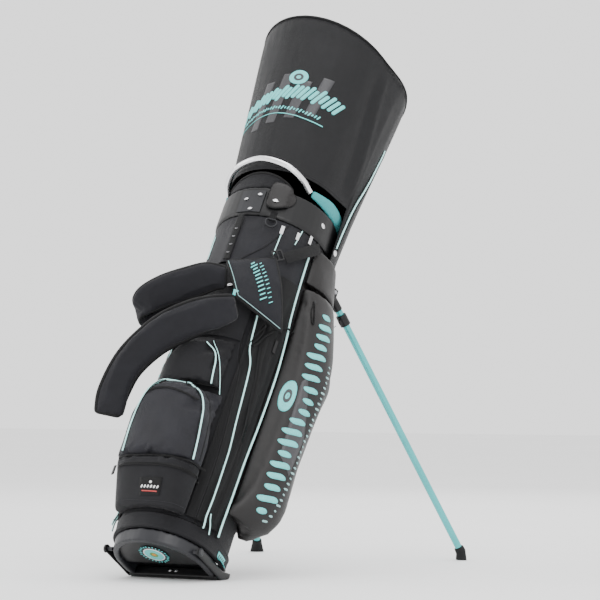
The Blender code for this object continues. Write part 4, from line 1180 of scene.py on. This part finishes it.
def pill(centre, length, width, angle):
    """Outline of a rounded bar on the surface: centre (phi, z), sizes in metres."""
    phi, z = centre
    along = Vector((math.cos(math.radians(angle)), math.sin(math.radians(angle))))
    side = Vector((-along.y, along.x))
    half, r = max(0.0, length / 2 - width / 2), width / 2
    outline = []
    for end, start in ((1, -90), (-1, 90)):
        for k in range(6):
            a = math.radians(start + 36 * k)
            p = along * (end * half + r * math.cos(a)) + side * r * math.sin(a)
            outline.append((phi + p.x / DEGREE, z + p.y))
    return outline


def disc(name, surface, phi, z, radius, finish, body, hole=0.0, lift=0.0006, squash=1.0):
    """A round printed disc or ring."""
    count = 40
    rim = [Vector((radius * math.cos(2 * math.pi * k / count) * squash,
                   radius * math.sin(2 * math.pi * k / count), 0)) for k in range(count)]
    inner = [p * max(0.02, hole / radius) for p in rim]
    verts, faces = [], []
    rings = 6
    for j in range(rings + 1):
        for k in range(count):
            p = rim[k].lerp(inner[k], j / rings)
            place, normal = surface.at(phi + p.x / DEGREE, z + p.y)
            verts.append(place + normal * lift)
    for j in range(rings):
        for k in range(count):
            m = (k + 1) % count
            faces.append([j * count + k, j * count + m, (j + 1) * count + m, (j + 1) * count + k])
    mesh = bpy.data.meshes.new(name)
    mesh.from_pydata([tuple(v) for v in verts], [], faces)
    return film(name, mesh, finish, body)


def make_graphics(body):
    """Plain bars, discs and facets where the real bag is decorated; none of them is a letter."""
    for side, turn, lean in (("right", lambda phi: phi, 1), ("left", lambda phi: 180.0 - phi, -1)):
        def outline(points):
            return [(turn(phi), z) for phi, z in points]

        for k in range(19):
            z = 0.618 - 0.0262 * k
            beside = smooth(1.6 - abs(z - 0.401) / 0.036)
            phi = 7.0 + 4.6 * smooth((z - 0.49) / 0.12) + 1.4 * smooth((0.19 - z) / 0.05)
            phi += 2.6 * beside
            length = 0.014 + 0.015 * abs(math.sin(1.9 * k + 0.4)) + 0.004 * (k % 2)
            length = min(length, 0.030 - 0.013 * beside)
            patch(f"side_bar_{side}_{k + 1}", body,
                  pill((turn(phi), z), length, 0.0118, lean * 32.0), "ink")
        for k in range(30):
            z = 0.512 - 0.0130 * k
            phi = 15.4 + 1.4 * smooth((z - 0.20) / 0.10) + 1.2 * smooth((z - 0.46) / 0.05)
            patch(f"side_tick_{side}_{k + 1}", body,
                  pill((turn(phi), z), 0.0040 + 0.0022 * (k % 3), 0.0040, lean * 30.0), "ink_pale")
        disc("side_disc_" + side, body, turn(-0.4), 0.401, 0.037, "ink", "bag", 0.0, squash=0.16)
        disc("side_disc_core_" + side, body, turn(-0.4), 0.401, 0.016, "ink_ghost", "bag", 0.008,
             0.0011, 0.16)
        patch("side_ghost_" + side, body, outline([(2.5, 0.440), (5.0, 0.460), (15.0, 0.330),
                                                   (14.0, 0.240), (4.5, 0.270)]),
              "ink_ghost", lift=0.0002)
        patch("collar_label_" + side, body,
              outline([(6.0, 0.026), (24.0, 0.026), (24.0, 0.044), (6.0, 0.044)]), "ink")
        for k in range(5):
            patch(f"collar_label_bar_{side}_{k + 1}", body,
                  pill((turn(8.5 + 3.4 * k), 0.035), 0.011, 0.0028, 66.0), "ink_ghost", lift=0.0011)
    make_pouch_label(body)
    make_hood_graphics(made_surface("hood_cloth"))


def make_pouch_label(body):
    patch("pouch_label", body, [(-93.5, 0.080), (-74.5, 0.082), (-74.5, 0.1145), (-93.5, 0.113)],
          "binding", lift=0.0008)
    for k in range(6):
        patch(f"pouch_label_mark_{k + 1}", body,
              pill((-91.0 + 2.8 * k, 0.0965), 0.0060, 0.0030, SLANT), "ink_white", lift=0.0016)
    patch("pouch_label_dot", body, pill((-83.5, 0.1045), 0.0052, 0.0050, 0.0), "ink_white",
          lift=0.0016)
    patch("pouch_label_line", body, pill((-84.0, 0.0885), 0.0300, 0.0022, 0.0), "ink_red",
          lift=0.0016)


def make_hood_graphics(hood):
    """Arched row of bars with a thin line under it, a disc over it and faint facets behind."""
    for k in range(4):
        phi = -118.0 + 17.5 * k
        low, high = 1.004 + 0.012 * k, 1.124 + 0.016 * (k % 2)
        patch(f"hood_facet_{k + 1}", hood, [(phi, low), (phi + 9.5, low), (phi + 16.5, high),
                                            (phi + 7.0, high)], "ink_ghost", "hood", 0.0002)
    for k in range(22):
        phi = -139.0 + 4.8 * k
        z = 1.064 + 0.030 * smooth(1 - abs(phi + 75.0) / 75.0)
        length = 0.024 + 0.020 * abs(math.sin(1.35 * k + 0.6))
        patch(f"hood_bar_{k + 1}", hood, pill((phi, z), length, 0.0074, SLANT), "ink", "hood")
    for k in range(30):
        phi = -136.0 + 2.9 * k
        z = 1.040 + 0.014 * smooth(1 - abs(phi + 92.0) / 50.0)
        patch(f"hood_tick_{k + 1}", hood,
              pill((phi, z), 0.0055 + 0.0025 * (k % 3), 0.0030, SLANT), "ink", "hood")
    route = [(phi, 1.026 + 0.014 * smooth(1 - abs(phi + 92.0) / 50.0)) for phi in
             steps(-140.0, -46.0, 24)]
    Build().loft(band_sections(hood.path(route, 0.004, -0.0002), 0.0032, 0.0008)).finish(
        "hood_underline", "ink", "hood")
    disc("hood_disc", hood, -79.4, 1.131, 0.0180, "ink", "hood")
    disc("hood_disc_core", hood, -79.4, 1.131, 0.0090, "ink_ghost", "hood", 0.0045, 0.0011)


def make_medallion():
    """Concentric rings and a ring of dashes on the underside of the base."""
    low, high = (Vector(corner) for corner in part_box("base_emblem"))
    centre = TO_BAG @ ((low + high) / 2)
    floor = min((TO_BAG @ v.co).z for v in frame["nodes"]["base_emblem"].data.vertices)
    middle = Vector((centre.x, centre.y, floor))
    for k, (outer, inner, finish) in enumerate(((0.0230, 0.0205, "ink_white"),
                                                (0.0205, 0.0090, "ink"),
                                                (0.0090, 0.0050, "ink_green"),
                                                (0.0050, 0.0002, "ink_amber"))):
        sections = []
        for c in range(48):
            out = polar(7.5 * c, 1.0, 0.0)
            sections.append([middle + out * outer, middle + out * (outer - 0.0003) - UP_Z * 0.0006,
                             middle + out * (inner + 0.0001) - UP_Z * 0.0006, middle + out * inner])
        Build().loft(sections, closed=True).finish(f"medallion_ring_{k + 1}", finish)
    dashes = Build()
    for c in range(26):
        out = polar(360.0 * c / 26, 1.0, 0.0)
        around = Vector((-out.y, out.x, 0.0))
        radius = 0.0285 + 0.0012 * (c % 2)
        dashes.box(middle + out * radius, out * 0.0022,
                   (around + out * 0.5).normalized() * 0.0010, UP_Z * 0.0004)
    dashes.finish("medallion_dashes", "ink")


def laid(surface, rows, count):
    """Points at a height over the outside, along rows of (phi, z, height)."""
    points = []
    for spot in curve(rows, count):
        place, normal = surface.at(spot.x, spot.y)
        points.append(place + normal * spot.z)
    for _ in range(3):
        points[1:-1] = [(a + 2 * b + c) / 4 for a, b, c in zip(points, points[1:], points[2:])]
    return points


def make_cords(surface):
    """A very dark cord with both ends sewn down, laid over the gusset where a line of shade falls
    (painted shade), and zip pulls that are loops with both ends in a slider.
    """
    # Painted shade: this near-black cord stands in for a line of shade across the gusset.
    shade_line = laid(surface, [(-40.0, 0.4685, 0.0016), (-33.7, 0.4940, 0.0040), (-26.7, 0.5200, 0.0040),
                         (-18.0, 0.5380, 0.0050), (-11.2, 0.5480, 0.0080), (-4.6, 0.5490, 0.0016)],
               40)
    Build().tube(shade_line, 0.0021, 8).finish("gusset_painted_shade_cord", "piping_dark", sharp=60.0)
    routes = {
        "zip_loop_a": [(-36.0, 0.524, 0.0026), (-39.5, 0.502, 0.0026), (-43.0, 0.482, 0.0024),
                       (-46.0, 0.466, 0.0020), (-43.5, 0.462, 0.0020), (-40.0, 0.480, 0.0024),
                       (-36.5, 0.503, 0.0026)],
        "zip_loop_b": [(-0.5, 0.632, 0.0030), (-1.2, 0.618, 0.0024), (-0.6, 0.600, 0.0022),
                       (0.4, 0.584, 0.0020), (1.8, 0.583, 0.0020), (1.0, 0.600, 0.0022),
                       (0.3, 0.616, 0.0024)],
    }
    for name, rows in routes.items():
        path = laid(surface, rows + rows[:1], 56)
        Build().tube(path[:-1], 0.0015, 8, None, True).finish(name, "piping_dark", sharp=60.0)
        slider = Build().turned(path[0] - UP_Z * 0.005, UP_Z,
                                [(0, 0.0016), (0.002, 0.0028), (0.006, 0.0030), (0.008, 0.0018)])
        slider.finish(name + "_slider", "black_plastic")


# ================================================================ stage, camera and light
CAMERA_PLACE = Vector((2.6314, -4.0613, 0.3818))
CAMERA_TURN = (30.0, -2.096, 0.095)              # azimuth, elevation and roll in degrees


def make_camera():
    azimuth, elevation, roll = (math.radians(a) for a in CAMERA_TURN)
    back = Vector((math.sin(azimuth) * math.cos(elevation), -math.cos(azimuth) * math.cos(elevation),
                   math.sin(elevation)))
    right = Vector((math.cos(azimuth), math.sin(azimuth), 0.0))
    up = back.cross(right)
    turned = Matrix((right * math.cos(roll) + up * math.sin(roll),
                     up * math.cos(roll) - right * math.sin(roll), back)).transposed().to_4x4()
    turned.translation = CAMERA_PLACE
    data = bpy.data.cameras.new("camera")
    data.lens = 144.0
    data.sensor_width = 36.0
    camera = linked("camera", data)
    camera.matrix_world = turned
    bpy.context.scene.camera = camera


def make_light(name, place, size, power, colour=(1.0, 1.0, 1.0)):
    data = bpy.data.lights.new(name, "AREA")
    data.shape = "RECTANGLE"
    data.size, data.size_y = size
    data.energy = power
    data.color = colour
    light = linked(name, data)
    light.location = Vector(place)
    aim = Vector((0.0, 0.15, 0.60)) - light.location
    light.rotation_euler = aim.to_track_quat("-Z", "Y").to_euler()


def make_stage():
    s = Shader("floor", (0.90, 0.90, 0.90), 0.75)
    s.mottle(s.noise(2.0), 0.01)
    mesh = bpy.data.meshes.new("floor")
    side = 14.0
    mesh.from_pydata([(-side, -side, -0.0004), (side, -side, -0.0004), (side, side, -0.0004),
                      (-side, side, -0.0004)], [], [(0, 1, 2, 3)])
    mesh.materials.append(s.material)
    linked("floor", mesh)
    world = bpy.data.worlds.new("studio")
    world.use_nodes = True
    world.node_tree.nodes["Background"].inputs["Color"].default_value = (1.0, 1.0, 1.0, 1.0)
    world.node_tree.nodes["Background"].inputs["Strength"].default_value = 1.7
    bpy.context.scene.world = world
    make_light("key", (2.6, -3.0, 3.2), (2.2, 2.2), 90.0)
    make_light("left", (-3.2, -1.6, 1.8), (1.4, 2.6), 34.0)
    make_light("top", (0.2, 0.6, 4.0), (2.4, 2.4), 50.0)
    make_light("back", (-1.0, 3.4, 2.2), (2.0, 2.0), 30.0)


# ================================================================ the whole bag
make_camera()
make_stage()
dress_carried()
make_tube()
make_collar()
make_panels()
make_pockets()
make_strap()
make_hood()
make_hood_tab()
make_rim()
make_belts()
make_fasteners()
make_moulded()
make_medallion()
shown = made_surface(*SEWN_ON)
make_cords(shown)
make_lines(shown)
make_graphics(shown)
